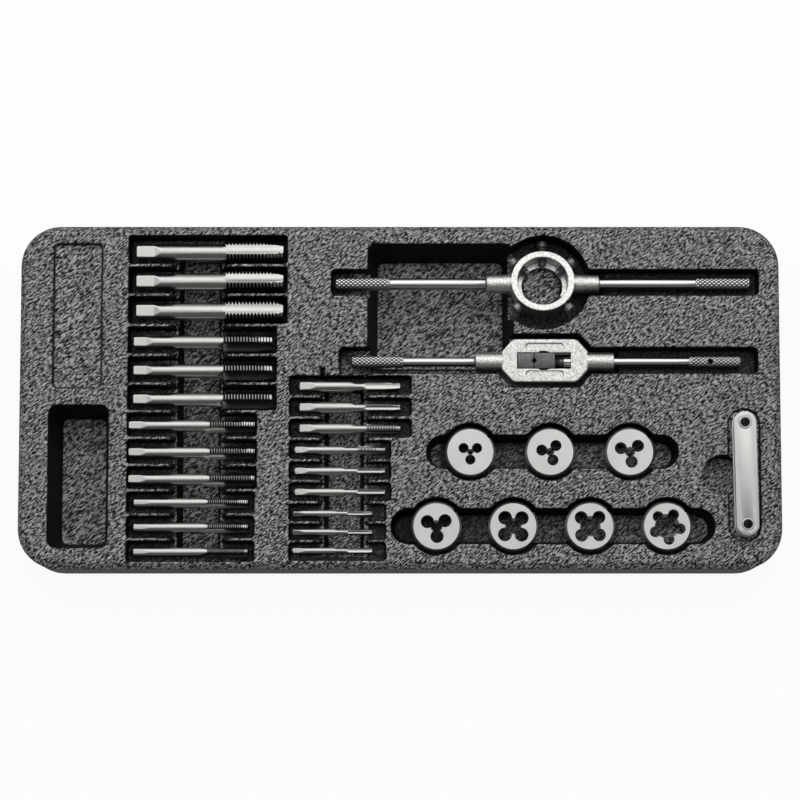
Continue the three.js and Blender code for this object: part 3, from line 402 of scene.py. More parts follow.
# A moulding dimple in the deck: its falloff runs to this many radii
DIMPLE = {"x": -63.2, "y": -19.6, "radius": 1.5, "depth": 0.8, "radii": 2, "falloff": 2, "below": 1}
# The recess for a plate, made deeper by this factor so that it shows
PLATE = {"left": -175, "right": -149.5, "bottom": 2.5, "top": 78.5, "deeper": 2.2, "below": 1.5}
# Where the slots are narrow and get painted shade: left, right, bottom and top of the tap columns and
# the long tools
NARROW = [
    (-138, -113.1, -88, 86), (-89.4, -56, -88, 86), (-57, -38.8, -88, 16), (-17.2, 7, -88, 16),
    (-36, -17.4, 16, 86), (56, 186, 3, 86),
]
# The narrow ring round each die, which gets painted shade too, between these distances from its middle
NARROW_RING = (9.5, 16)
NARROW_BLEND = 1.5
# A slot counts as narrow from this far below the deck, and fully so after this much more
NARROW_BELOW, NARROW_FADE = 1, 2
# A low pad under the opening of the die stock's head, where the photo shows a pale floor
PAD = {"radius": 9, "rise": 1, "blend": 1.2, "below": 14}
RIM_ROUND = 4
RIM_CORNER = 20
# Where the ridges between the taps drop into the trough: edge, direction, run, drop and rows
NOSES = [
    {"edge": -113.1, "side": -1, "run": 5, "drop": 7.5, "low": -80, "high": 82},
    {"edge": -89.4, "side": 1, "run": 6.5, "drop": 7.5, "low": -80, "high": 82},
    {"edge": -38.8, "side": -1, "run": 5, "drop": 4.5, "low": -80, "high": 15},
    {"edge": -17.2, "side": 1, "run": 6, "drop": 4.5, "low": -80, "high": 15},
]
# How far before its edge a ridge's drop starts to act, as a share of its run
NOSE_LEAD = 0.2


def round_rim(vert, half, deck):
    """Carries a point near the outer rim from a square edge onto a round one."""
    over = Vector([max(0, abs(vert.co[i]) - half[i] + RIM_CORNER) for i in (0, 1)])
    if over.length > 0:
        inward = RIM_CORNER - over.length
        out = over.normalized()
        along, down = RIM_ROUND - inward, RIM_ROUND - (deck - vert.co.z)
        if along > 0 and down > 0:
            scale = max(along, down) / math.hypot(along, down)
            vert.co.x += math.copysign(out.x * along * (scale - 1), vert.co.x)
            vert.co.y += math.copysign(out.y * along * (scale - 1), vert.co.y)
            vert.co.z += down * (scale - 1)


def tray_skin():
    """The formed sheet: the frame's tray, with every rim and floor edge drawn round."""
    skin = bmesh.new()
    skin.from_mesh(NODES["tray"].data)
    bmesh.ops.scale(skin, verts=skin.verts, vec=(1 / MM,) * 3)
    bmesh.ops.remove_doubles(skin, verts=skin.verts, dist=WELD)
    formed = worked(skin, voxel=GRAIN_VOXEL, soften=TRAY_SOFTEN)
    deck = box_mm("tray")[1].z
    half = (box_mm("tray")[1] - box_mm("tray")[0]) / 2
    head = middle_mm("stock_head")
    for vert in formed.verts:
        round_rim(vert, half, deck)
        away = math.hypot(vert.co.x - head.x, vert.co.y - head.y) - PAD["radius"]
        if away < PAD["blend"] and vert.co.z > deck - PAD["below"]:
            vert.co.z += PAD["rise"] * min(1, (PAD["blend"] - away) / PAD["blend"])
        away = math.hypot(vert.co.x - DIMPLE["x"], vert.co.y - DIMPLE["y"]) / DIMPLE["radius"]
        if away < DIMPLE["radii"] and vert.co.z > deck - DIMPLE["below"]:
            vert.co.z -= DIMPLE["depth"] * math.exp(-away * away * DIMPLE["falloff"])
        along_plate = PLATE["left"] < vert.co.x < PLATE["right"]
        on_plate = along_plate and PLATE["bottom"] < vert.co.y < PLATE["top"]
        if on_plate and vert.co.z > deck - PLATE["below"]:
            vert.co.z = deck - (deck - vert.co.z) * PLATE["deeper"]
        for nose in NOSES:
            into = (vert.co.x - nose["edge"]) * nose["side"] / nose["run"]
            if -NOSE_LEAD < into < 1 and nose["low"] < vert.co.y < nose["high"]:
                floor = deck - nose["drop"]
                left = math.sqrt(max(0, 1 - (1 - max(0, into)) ** 2))
                if vert.co.z > floor:
                    vert.co.z = floor + (vert.co.z - floor) * left
    triangles = sum(len(face.verts) - 2 for face in formed.faces)
    formed = worked(formed, share=TRAY_TRIANGLES / triangles)
    # The narrow attribute marks the narrow slots, where the material paints shade by keeping the grain
    # crests nearly black
    narrow = formed.verts.layers.float.new("narrow")
    dies = [middle_mm(f"die_{name}") for name in DIES]
    for vert in formed.verts:
        x, y, z = vert.co
        inside = max(
            min(x - left, right - x, y - low, high - y) for left, right, low, high in NARROW
        )
        for die in dies:
            away = math.hypot(x - die.x, y - die.y)
            inside = max(inside, min(away - NARROW_RING[0], NARROW_RING[1] - away))
        inside = min(inside, math.hypot(x - head.x, y - head.y) - PAD["radius"])
        sunk = held((deck - z - NARROW_BELOW) / NARROW_FADE)
        vert[narrow] = sunk * held(inside / NARROW_BLEND)
    skin = piece("tray_skin", formed, "tray", [GRAINED_ABS], ["tray"], sharp=180)
    weighted = skin.modifiers.new("flat_faces_rule", "WEIGHTED_NORMAL")
    weighted.mode, weighted.weight = "FACE_AREA", 80


# Taps

SIZES = {
    "m12": {"major": 12, "pitch": 1.75, "shank": 9, "square": 7, "square_length": 11, "thread": 29,
            "flutes": 4, "facing": 77, "flute": (1.75, 1.05)},
    "m10": {"major": 10, "pitch": 1.5, "shank": 7, "square": 5.5, "square_length": 8.5, "thread": 25,
            "flutes": 3, "facing": 18},
    "m8": {"major": 8, "pitch": 1.25, "shank": 6, "square": 4.9, "square_length": 8, "thread": 22.5,
           "flutes": 3, "facing": 24},
    "m6": {"major": 6, "pitch": 1, "shank": 5.2, "square": 4.9, "square_length": 8, "thread": 20,
           "flutes": 3, "facing": 20},
    "m5": {"major": 5, "pitch": 0.8, "shank": 6, "square": 4.9, "square_length": 8, "thread": 17,
           "flutes": 3, "facing": 97, "flute": (1.2, 0.55), "neck": 3.9, "neck_length": 8},
    "m4": {"major": 4, "pitch": 0.7, "shank": 4.5, "square": 3.4, "square_length": 6.5, "thread": 13.5,
           "flutes": 3, "facing": 92, "flute": (1.2, 0.55), "neck": 3, "neck_length": 8},
    "m3": {"major": 3, "pitch": 0.5, "shank": 3.5, "square": 2.7, "square_length": 5.5, "thread": 12,
           "flutes": 3, "facing": 97, "flute": (1.2, 0.55), "neck": 2.3, "neck_length": 7},
}
# How much of the thread each tap of a set tapers over
SET_LEAD_SHARES = {"taper": 0.5, "second": 0.3, "bottoming": 0.15}
# Taps that lie turned otherwise than the rest of their size
OWN_FLUTES = {
    "m12_second": {"facing": 72}, "m12_bottoming": {"facing": 80},
    "m5_taper": {"facing": 87, "flute": (2.2, 1.6)}, "m5_bottoming": {"facing": 150},
    "m4_taper": {"facing": 27}, "m3_taper": {"facing": 70}, "m3_second": {"facing": 78},
    "m3_bottoming": {"facing": 87, "flute": (2.2, 1.6)},
}
# Taps whose squares and threads lie turned in their slots, in degrees
ROLLS = {"m3_taper": 28, "m3_second": 20}
# Length of the cone at the end of the square on the small taps. The one at the thread is half as long.
POINTS = {"m6": 2.4, "m5": 2.4, "m4": 1.6, "m3": 1.2}
LEAD_END_SHARE = 0.78
# Centre and radius of the grinding wheel's round that cuts a flute, as shares of the tap's radius
FLUTE = (1.6, 1.1)
# Flat crest and root of a thread as shares of its pitch. The small taps' crests are drawn wider than
# the real ones, which are too fine to show.
CREST_SHARE = 0.125
SMALL_CREST_SHARE = 0.35
ROOT_SHARE = 0.25
# The flutes run out into the shank over this share of the tap's diameter
RUN_OUT_SHARE = 0.8
RUN_OUT_RINGS = 14
# Where the square runs out into the round shank
SQUARE_RUN = 3.4
SQUARE_RINGS = 6
SQUARE_PAST = 1
NECK_SLOPE = 2.5
TAP_STEPS = 72


def helical_thread(major, pitch, length, steps, crest_share):
    """A threaded bar from 0 to length along X: one profile line is screwed round by one turn."""
    flank = (1 - crest_share - ROOT_SHARE) / 2 * pitch
    crest, root = major / 2, major / 2 - flank * math.tan(FLANK_SLOPE)
    bm = bmesh.new()
    verts = []
    for i in range(-2, math.ceil(length / pitch) + 2):
        start = i * pitch
        stops = [
            (0, crest), (crest_share * pitch, crest), (crest_share * pitch + flank, root),
            (pitch - flank, root),
        ]
        verts += [bm.verts.new((start + along, 0, radius)) for along, radius in stops]
    edges = [bm.edges.new(pair) for pair in zip(verts, verts[1:])]
    bmesh.ops.spin(
        bm, geom=verts + edges, cent=(0, 0, 0), axis=(1, 0, 0), dvec=(pitch / steps, 0, 0),
        angle=TURN, steps=steps, use_merge=False,
    )
    bmesh.ops.remove_doubles(bm, verts=bm.verts, dist=WELD)
    for along, outward in ((0, -1), (length, 1)):
        bmesh.ops.bisect_plane(
            bm, geom=bm.verts[:] + bm.edges[:] + bm.faces[:], dist=WELD,
            plane_co=(along, 0, 0), plane_no=(outward, 0, 0), clear_outer=True,
        )
    bmesh.ops.holes_fill(bm, edges=bm.edges, sides=0)
    bmesh.ops.recalc_face_normals(bm, faces=bm.faces)
    groove = bm.verts.layers.float.new("groove")
    for vert in bm.verts:
        vert[groove] = (crest - math.hypot(vert.co.y, vert.co.z)) / (crest - root)
    return bm


def flute_limit(angle, size, depth_share=1):
    """How far out a tap's flutes let its surface reach in one direction."""
    major = size["major"] / 2
    circle, radius = (share * major for share in size.get("flute", FLUTE))
    circle += (1 - depth_share) * (major - circle + radius)
    step = TURN / size["flutes"]
    away = (angle - math.radians(size["facing"])) % step
    away = min(away, step - away)
    across = circle * math.sin(away)
    if abs(across) >= radius:
        return major * 2
    return circle * math.cos(away) - math.sqrt(radius * radius - across * across)


def limited(vert, reach):
    """Draws a point in towards the X axis until it is no further from it than this."""
    radius = math.hypot(vert.co.y, vert.co.z)
    if radius > reach > 0:
        vert.co.y *= reach / radius
        vert.co.z *= reach / radius


def tap_shank(size, length, point):
    """The square, shank and neck, with the flutes running out into them."""
    start = length - size["thread"]
    radius = size["shank"] / 2
    core = size.get("neck", size["shank"]) / 2
    neck_start = start - size.get("neck_length", 0)
    run = RUN_OUT_SHARE * size["major"]
    square_end = size["square_length"] + SQUARE_PAST
    # A pointed end has a longer slope to its cone than a blunt one has to its flat face
    slope, share = (0.8, 0.6) if point else (0.4, 0.93)
    profile = [(-point, 0), (0, radius * share), (slope, radius)]
    square_run = square_end - SQUARE_RUN
    profile += [
        (square_run + i * SQUARE_RUN / SQUARE_RINGS, radius) for i in range(SQUARE_RINGS + 1)
    ]
    if "neck" in size:
        profile += [(neck_start, radius), (neck_start + NECK_SLOPE * (radius - core), core)]
    last = max(start - run, profile[-1][0])
    profile += [
        (last + (i + 1) * (start - last) / RUN_OUT_RINGS, core) for i in range(RUN_OUT_RINGS)
    ]
    profile += [(start, 0)]
    bm = spun(profile, TAP_STEPS)
    half = size["square"] / 2
    for vert in bm.verts:
        along = vert.co.x
        if along < square_end:
            ease = max(0, (along - square_end + SQUARE_RUN) / SQUARE_RUN)
            side = half + ease * (radius - half)
            vert.co.y = held(vert.co.y, -side, side)
            vert.co.z = held(vert.co.z, -side, side)
        if along > last:
            depth = (along - last) / (start - last)
            limited(vert, flute_limit(math.atan2(vert.co.z, vert.co.y), size, depth))
    return bm


def tap(size_name, turn):
    """One tap of a set, laid in the frame along the axis of its own node."""
    place = f"{size_name}_{turn}"
    size = dict(SIZES[size_name])
    size.update(OWN_FLUTES.get(place, {}))
    point = POINTS.get(size_name, 0)
    node = f"tap_{place}"
    low, high = box_mm(node)
    length = high.x - low.x - point - point / 2
    bm = tap_shank(size, length, point)
    crest_share = SMALL_CREST_SHARE if "neck" in size else CREST_SHARE
    thread = helical_thread(size["major"], size["pitch"], size["thread"], TAP_STEPS, crest_share)
    groove = thread.verts.layers.float["groove"]
    lead = SET_LEAD_SHARES[turn] * size["thread"]
    end = LEAD_END_SHARE * size["major"] / 2
    for vert in thread.verts:
        into = (vert.co.x - size["thread"] + lead) / lead
        if into > 0:
            limited(vert, size["major"] / 2 + into * (end - size["major"] / 2))
        before = math.hypot(vert.co.y, vert.co.z)
        limited(vert, flute_limit(math.atan2(vert.co.z, vert.co.y), size))
        if math.hypot(vert.co.y, vert.co.z) < before - WELD:
            vert[groove] = 0
    moved(thread, (length - size["thread"], 0, 0))
    shells = [thread]
    if point:
        tip = size["major"] / 4
        shells.append(spun([(length, 0), (length, tip), (length + point / 2, 0)], TAP_STEPS))
    whole = moved(merged([bm, *shells]), angle=math.radians(ROLLS.get(place, 0)), axis="X")
    ends = [v.co / MM for v in NODES[node].data.vertices if v.co.x / MM < low.x + WELD * 10]
    axis = [(min(c[i] for c in ends) + max(c[i] for c in ends)) / 2 for i in (1, 2)]
    moved(whole, (low.x + point, *axis))
    piece(f"ground_{node}", whole, node, [TAP_STEEL], [node])


# Dies

DIE_RADIUS = 12.5
DIE_CHAMFER = 1
DIE_NOTCH_ANGLE = 40
DIE_NOTCH_RADIUS = 1.1
# Threaded hole, and the clearance holes round it: their number, diameter, circle and first angle
DIES = {
    "m3": {"core": 2.6, "pitch": 0.5, "flutes": 3, "hole": 5.1, "circle": 3.9, "turn": 30},
    "m4": {"core": 3.4, "pitch": 0.7, "flutes": 3, "hole": 5.6, "circle": 4.3, "turn": 48},
    "m5": {"core": 4.3, "pitch": 0.8, "flutes": 3, "hole": 6.1, "circle": 5, "turn": 38},
    "m6": {"core": 5.1, "pitch": 1, "flutes": 3, "hole": 6.6, "circle": 5.1, "turn": 33},
    "m8": {"core": 6.9, "pitch": 1.25, "flutes": 4, "hole": 6.9, "circle": 5.9, "turn": 44},
    "m10": {"core": 8.7, "pitch": 1.5, "flutes": 4, "hole": 6.5, "circle": 6.25, "turn": 46},
    "m12": {"core": 10.5, "pitch": 1.75, "flutes": 5, "hole": 5.5, "circle": 6.6, "turn": 61},
}


def threaded_hole(core, pitch, half):
    """The solid that cuts a die's thread, opened out at both faces."""
    depth = THREAD_DEPTH * pitch
    end, opened = half + OVERRUN, core / 2 + depth + OVERRUN
    profile = [(-end, 0), (-end, opened), (-half + depth, core / 2)]
    along = -half + depth
    while along + pitch < half - depth:
        profile += [(along + pitch / 2, core / 2 + depth), (along + pitch, core / 2)]
        along += pitch
    profile += [(half - depth, core / 2), (end, opened), (end, 0)]
    return upright(spun(profile, HOLE_ROUND))


def round_die(name, die):
    """A die: a chamfered disc with its thread, its clearance holes and the notch for the point."""
    node = f"die_{name}"
    low, high = box_mm(node)
    half = (high.z - low.z) / 2
    rim = DIE_RADIUS - DIE_CHAMFER
    disc = upright(spun([
        (-half, 0), (-half, rim), (DIE_CHAMFER - half, DIE_RADIUS), (half - DIE_CHAMFER, DIE_RADIUS),
        (half, rim), (half, 0),
    ], ROUND))
    below, above = -half - OVERRUN, half + OVERRUN
    cuts = [threaded_hole(die["core"], die["pitch"], half)]
    for i in range(die["flutes"]):
        angle = math.radians(die["turn"]) + i * TURN / die["flutes"]
        x, y = die["circle"] * math.cos(angle), die["circle"] * math.sin(angle)
        cuts.append(post(x, y, below, above, die["hole"] / 2))
    notch = math.radians(DIE_NOTCH_ANGLE)
    x, y = DIE_RADIUS * math.cos(notch), DIE_RADIUS * math.sin(notch)
    cuts.append(post(x, y, below, above, DIE_NOTCH_RADIUS))
    made = worked(disc, cuts=cuts)
    moved(made, middle_mm(node))
    piece(f"round_{node}", made, node, [DIE_STEEL], [node], sharp=30)


# Die stock

STOCK_ROLL = math.radians(-10)
HEAD_RADIUS = 16.1
HEAD_HALF = 5
BORE_RADIUS = 12.75
LEDGE_RADIUS = 10.25
LEDGE = 2
BOSS_REACH = 28.3
# Radius of a boss at the ring and at its end
STOCK_BOSS = (4.9, 4.55)
SOCKET = 7
STOCK_ROD = {"inner": 21.6, "outer": 104.6, "radius": 3, "grip": 27.3, "grip_radius": 3.3}
SCREWS = {"point": 90, "left_back": 142, "right_back": 38, "left_front": 225, "right_front": 315}
SCREW = {
    "tip": 8.6, "blunt": 0.9, "sharp": 0.2, "cone": 1.4, "cone_radius": 1.6, "thread_from": 1.6,
    "thread_stop": 0.5, "pitch": 0.7, "radius": 2, "seat": 17, "head": 3, "head_radius": 3,
    "chamfer": 0.3, "slot": 1.2, "slot_half": 0.5, "point_out": 2.4,
}
CAST_VOXEL = 0.32
CAST_SOFTEN = 3
ROD_CHAMFER = 0.3
# Each end of a grip: its plain edge, the undercut before it, its shoulder and its rounded outer end
GRIP = {"edge": 0.5, "under_from": 0.4, "under_to": 0.1, "under": 0.15, "shoulder": 0.3, "end": 0.6}
# A diamond knurl: its pitch along the rod, its depth, the diamonds round it and the rings in a pitch
KNURL = {"pitch": 2.3, "depth": 0.5, "around": 9, "rings": 10, "sharpness": 4, "skin": 0.1}
ROD_STEPS = 90
ROD_SHARP = 60


def knurled_rod(inner, outer, radius, grip, grip_radius, start=()):
    """A bright rod with a diamond-knurled grip at its outer end, along +X."""
    knurl_start = outer - grip
    rings = round(grip / KNURL["pitch"] * KNURL["rings"])
    edge = GRIP["edge"]
    blunt = [(inner, 0), (inner, radius - ROD_CHAMFER), (inner + ROD_CHAMFER, radius)]
    profile = list(start) or blunt
    profile += [
        (knurl_start - GRIP["under_from"], radius),
        (knurl_start - GRIP["under_to"], radius - GRIP["under"]),
        (knurl_start, grip_radius - GRIP["shoulder"]),
    ]
    profile += [
        (knurl_start + edge + i * (grip - 2 * edge) / rings, grip_radius) for i in range(rings + 1)
    ]
    profile += [(outer, grip_radius - GRIP["end"]), (outer, 0)]
    bm = spun(profile, ROD_STEPS)
    groove = bm.verts.layers.float.new("groove")
    for vert in bm.verts:
        reach = math.hypot(vert.co.y, vert.co.z)
        if vert.co.x > knurl_start + edge / 2 and reach > grip_radius - KNURL["skin"]:
            along = (vert.co.x - knurl_start) / KNURL["pitch"]
            about = math.atan2(vert.co.z, vert.co.y) / TURN * KNURL["around"]
            sunk = max(abs((along + about) % 1 - 0.5), abs((along - about) % 1 - 0.5)) * 2
            vert[groove] = sunk
            limited(vert, grip_radius - KNURL["depth"] * sunk ** KNURL["sharpness"])
    return bm


def stock_head():
    """The cast head: a ring with a ledge for the die, and a tapered boss for each handle."""
    ring = upright(spun([
        (-HEAD_HALF, LEDGE_RADIUS), (LEDGE - HEAD_HALF, LEDGE_RADIUS), (LEDGE - HEAD_HALF, BORE_RADIUS),
        (HEAD_HALF, BORE_RADIUS), (HEAD_HALF, HEAD_RADIUS), (-HEAD_HALF, HEAD_RADIUS),
    ], ROUND, closed=True))
    bosses, holes = [], []
    socket_radius = STOCK_ROD["radius"] + FIT
    screw_hole = SCREW["radius"] + FIT
    for side in (1, -1):
        root = side * (BORE_RADIUS + OVERRUN)
        end = side * BOSS_REACH
        bosses.append(spun([
            (root, 0), (root, STOCK_BOSS[0]), (end, STOCK_BOSS[1]), (end, 0),
        ], HOLE_ROUND))
        near, far = side * (BOSS_REACH - SOCKET), side * (BOSS_REACH + OVERRUN)
        holes.append(spun([
            (near, 0), (near, socket_radius), (far, socket_radius), (far, 0),
        ], HOLE_ROUND))
    for angle in SCREWS.values():
        near, far = LEDGE_RADIUS - OVERRUN, HEAD_RADIUS + OVERRUN
        hole = spun([(near, 0), (near, screw_hole), (far, screw_hole), (far, 0)], HOLE_ROUND)
        holes.append(moved(hole, angle=math.radians(angle)))
    return worked(ring, joins=bosses, cuts=holes, voxel=CAST_VOXEL, soften=CAST_SOFTEN)


def stock_screw(stands_out):
    """A slotted clamping screw with a threaded shank, its tip towards the middle."""
    tip, pitch, radius, head = (SCREW[key] for key in ("tip", "pitch", "radius", "head_radius"))
    seat = SCREW["seat"] + stands_out
    end = seat + SCREW["head"]
    root = radius - THREAD_DEPTH * pitch
    blunt = SCREW["sharp"] if stands_out else SCREW["blunt"]
    profile = [(tip, 0), (tip, blunt), (tip + SCREW["cone"], SCREW["cone_radius"])]
    along = tip + SCREW["thread_from"]
    while along + pitch < seat - SCREW["thread_stop"]:
        profile += [(along, root), (along + pitch / 2, radius)]
        along += pitch
    chamfer = SCREW["chamfer"]
    profile += [
        (seat, root), (seat, head - chamfer), (seat + chamfer, head), (end - chamfer, head),
        (end, head - chamfer), (end, 0),
    ]
    half, past = SCREW["slot_half"], head + OVERRUN
    slot = block((end - SCREW["slot"], -past, -half), (end + OVERRUN, past, half))
    return worked(spun(profile, HOLE_ROUND), cuts=[slot])


def die_stock():
    """The head with its two handles and its five clamping screws, lying a little rolled."""
    middle = middle_mm("stock_head")
    head = moved(stock_head(), angle=STOCK_ROLL, axis="X")
    moved(head, middle)
    piece("die_stock_casting", head, "die_stock", [CAST_ZINC], ["stock_head"])
    for name, angle in (("right", 0), ("left", TURN / 2)):
        rod = moved(moved(knurled_rod(**STOCK_ROD), angle=angle), middle)
        piece(
            f"stock_rod_{name}", rod, "die_stock", [ROD_CHROME],
            [f"stock_handle_{name}"], sharp=ROD_SHARP,
        )
    for name, angle in SCREWS.items():
        screw = stock_screw(SCREW["point_out"] if name == "point" else 0)
        moved(screw, angle=math.radians(angle))
        moved(screw, middle, STOCK_ROLL, "X")
        node = f"stock_screw_{name}"
        piece(f"clamp_screw_{name}", screw, node, [SCREW_BLACK], [node])


# Tap wrench

BODY = {"tip": 21.8, "flat": 16, "edge": 11.1, "tip_half": 4.7, "half": 4.5}
WRENCH_BOSS_REACH = 34.7
WRENCH_BOSS_RADIUS = 4.8
# How far inside the body's tip a boss starts, and how much slimmer than the body is high
WRENCH_BOSS_ROOT = 2
BOSS_STEP = 0.3
# Half the height of a cutter that goes right through the body
THROUGH = 9
WINDOW = {"left": -13.8, "right": 13, "half": 4.15, "guide": 1.2, "guide_height": 3}
RELIEF = {"x": -0.7, "radius": 4.95}
JAWS = {"meet": -5.2, "end": 5, "notch": 1.3, "gap": 0.3, "edge": 0.18}
WRENCH_ROD = {"inner": 28, "outer": 97.2, "radius": 2.5, "grip": 26, "grip_radius": 3}
SCREW_HANDLE_REACH = 98.8
# The dark threaded neck of the screw handle, and the collar at which its bright rod starts
NECK = {
    "start": 5.3, "end": 9.4, "radius": 2.1, "collar": 2.5, "collar_edge": 0.2, "pitch": 0.9,
    "depth": 0.4, "from": 0.2, "stop": 0.3, "seam": 0.05,
}
CROSS_HOLE = {"radius": 1.4, "from_end": 15.5, "steps": 32}
CORNER = {"tip": 2.5, "flat": 4, "face": 0.8, "steps": 3}
# The sunk label place on each side of the window
LABEL = {"left": -9.8, "right": 9.5, "near": 5, "far": 9, "sunk": 0.45, "skin": 0.3}


def stadium(left, right, low, high, steps=7):
    """An outline with round ends, anticlockwise."""
    radius = (high - low) / 2
    points = []
    for centre, start in ((right - radius, -TURN / 4), (left + radius, TURN / 4)):
        for i in range(steps + 1):
            angle = start + i * TURN / 2 / steps
            x, y = centre + radius * math.cos(angle), (low + high) / 2 + radius * math.sin(angle)
            points.append((x, y))
    return points


def rounded(outline, radii, steps=5):
    """An outline with each corner replaced by a round between its two sides."""
    points = []
    for i, radius in enumerate(radii):
        corner = Vector(outline[i])
        before = (Vector(outline[i - 1]) - corner).normalized()
        after = (Vector(outline[(i + 1) % len(outline)]) - corner).normalized()
        reach = radius / math.tan(before.angle(after) / 2)
        start, end = corner + before * reach, corner + after * reach
        for step in range(steps + 1):
            share = step / steps
            points.append(tuple(
                start * (1 - share) ** 2 + corner * 2 * share * (1 - share) + end * share ** 2
            ))
    return points


def wrench_casting():
    """The cast body: a flat six-sided plate with a window, a sunk label place on each side of it, and
    a round boss at each end."""
    tip, flat, edge, side, half = (BODY[key] for key in ("tip", "flat", "edge", "tip_half", "half"))
    outline = [
        (tip, -side), (tip, side), (flat, edge), (-flat, edge), (-tip, side), (-tip, -side),
        (-flat, -edge), (flat, -edge),
    ]
    radii = [CORNER[kind] for kind in ("tip", "tip", "flat", "flat") * 2]
    body = plate(rounded(outline, radii), -half, half)
    body = worked(body, edge=CORNER["face"], edge_steps=CORNER["steps"])
    reach, radius = WRENCH_BOSS_REACH, WRENCH_BOSS_RADIUS
    bosses = []
    for way in (1, -1):
        root, end = way * (tip - WRENCH_BOSS_ROOT), way * reach
        bosses.append(spun([
            (root, 0), (root, half - BOSS_STEP), (way * tip, radius), (end, radius), (end, 0),
        ], HOLE_ROUND))
    left, right, wide = WINDOW["left"], WINDOW["right"], WINDOW["half"]
    guide = wide + WINDOW["guide"]
    rise = WINDOW["guide_height"] / 2
    cuts = [
        block((left, -wide, -THROUGH), (right, wide, THROUGH)),
        block((left, -guide, -rise), (right, guide, rise)),
        post(RELIEF["x"], 0, -THROUGH, THROUGH, RELIEF["radius"]),
    ]
    socket = WRENCH_ROD["radius"] + FIT
    for start, end in ((-reach - OVERRUN, SOCKET - reach), (right - OVERRUN, reach + OVERRUN)):
        cuts.append(spun([(start, 0), (start, socket), (end, socket), (end, 0)], HOLE_ROUND))
    casting = worked(body, joins=bosses, cuts=cuts, voxel=CAST_VOXEL, soften=CAST_SOFTEN)
    round_end = (LABEL["far"] - LABEL["near"]) / 2
    for vert in casting.verts:
        if vert.co.z > half - LABEL["skin"]:
            along = held(vert.co.x, LABEL["left"] + round_end, LABEL["right"] - round_end)
            across = abs(vert.co.y) - (LABEL["near"] + LABEL["far"]) / 2
            inside = (round_end - math.hypot(vert.co.x - along, across)) / CAST_VOXEL
            vert.co.z -= LABEL["sunk"] * held(inside)
    return casting


def jaw(left, right, notch):
    """A hardened jaw with its guide tongues, and half of the square hole in its end."""
    half = BODY["half"]
    width = WINDOW["half"] - JAWS["gap"]
    rise = WINDOW["guide_height"] / 2 - JAWS["gap"]
    reach = width + WINDOW["guide"]
    tongue = block((left, -reach, -rise), (right, reach, rise))
    size = JAWS["notch"]
    corners = [(notch - size, 0), (notch, -size), (notch + size, 0), (notch, size)]
    diamond = plate(corners, -THROUGH, THROUGH)
    solid = block((left, -width, -half), (right, width, half))
    return worked(solid, joins=[tongue], cuts=[diamond], edge=JAWS["edge"])


def screw_handle():
    """The knurled rod that moves the jaw: a dark threaded neck, a bright rod and a cross hole."""
    start, end, radius, pitch = (NECK[key] for key in ("start", "end", "radius", "pitch"))
    root, collar = radius - NECK["depth"], NECK["collar"]
    neck = [(start, 0), (start, radius - ROD_CHAMFER)]
    along = start + NECK["from"]
    while along + pitch < end - NECK["stop"]:
        neck += [(along, root), (along + pitch / 2, radius)]
        along += pitch
    neck += [(end, root), (end, collar - NECK["collar_edge"]), (end + ROD_CHAMFER, collar)]
    rod = {**WRENCH_ROD, "inner": start, "outer": SCREW_HANDLE_REACH}
    hole = SCREW_HANDLE_REACH - CROSS_HOLE["from_end"]
    cross = post(hole, 0, -THROUGH, THROUGH, CROSS_HOLE["radius"], CROSS_HOLE["steps"])
    screw = worked(knurled_rod(**rod, start=neck), cuts=[cross])
    for face in screw.faces:
        face.material_index = 1 if face.calc_center_median().x < end - NECK["seam"] else 0
    return screw


def tap_wrench():
    """The cast body with its two jaws and its two handles."""
    middle = middle_mm("wrench_body")
    body = moved(wrench_casting(), middle)
    piece("wrench_casting", body, "tap_wrench", [CAST_ZINC], ["wrench_body"])
    gap, meet = JAWS["gap"], JAWS["meet"]
    fixed = moved(jaw(WINDOW["left"] + gap, meet - gap, meet - gap), middle)
    piece("fixed_jaw_block", fixed, "tap_wrench", [JAW_DARK], ["wrench_fixed_jaw"])
    sliding = moved(jaw(meet, JAWS["end"], meet), middle)
    node = "wrench_sliding_jaw"
    piece("sliding_jaw_block", sliding, node, [JAW_DARK], [node])
    rod = moved(moved(knurled_rod(**WRENCH_ROD), angle=TURN / 2), middle)
    piece(
        "wrench_rod_fixed", rod, "tap_wrench", [ROD_CHROME],
        ["wrench_fixed_handle"], sharp=ROD_SHARP,
    )
    screw = moved(screw_handle(), middle)
    node = "wrench_screw_handle"
    piece(
        "wrench_rod_screw", screw, node, [ROD_CHROME, JAW_DARK], [node], sharp=ROD_SHARP,
    )


# Thread gauge

GAUGE_TURN = math.radians(0.9)
EYELET_SPAN = 51
CASE_HALF = 5.7
CASE_STEPS = 16
CASE_EDGE = 0.28
EYELET = {"hole": 2.15, "tube": 2.7, "flange": 3.2, "rise": 0.5, "play": 0.15, "steps": 8}
LEAF = {
    "thick": 0.5, "root": 4.6, "half": 3.4, "reach": 45, "tip_share": 0.55, "toothed": 22,
    "tooth_share": 0.6,
}
LEAF_PITCHES = [0.75, 1, 1.25, 1.5, 1.75, 2, 2.5, 3]


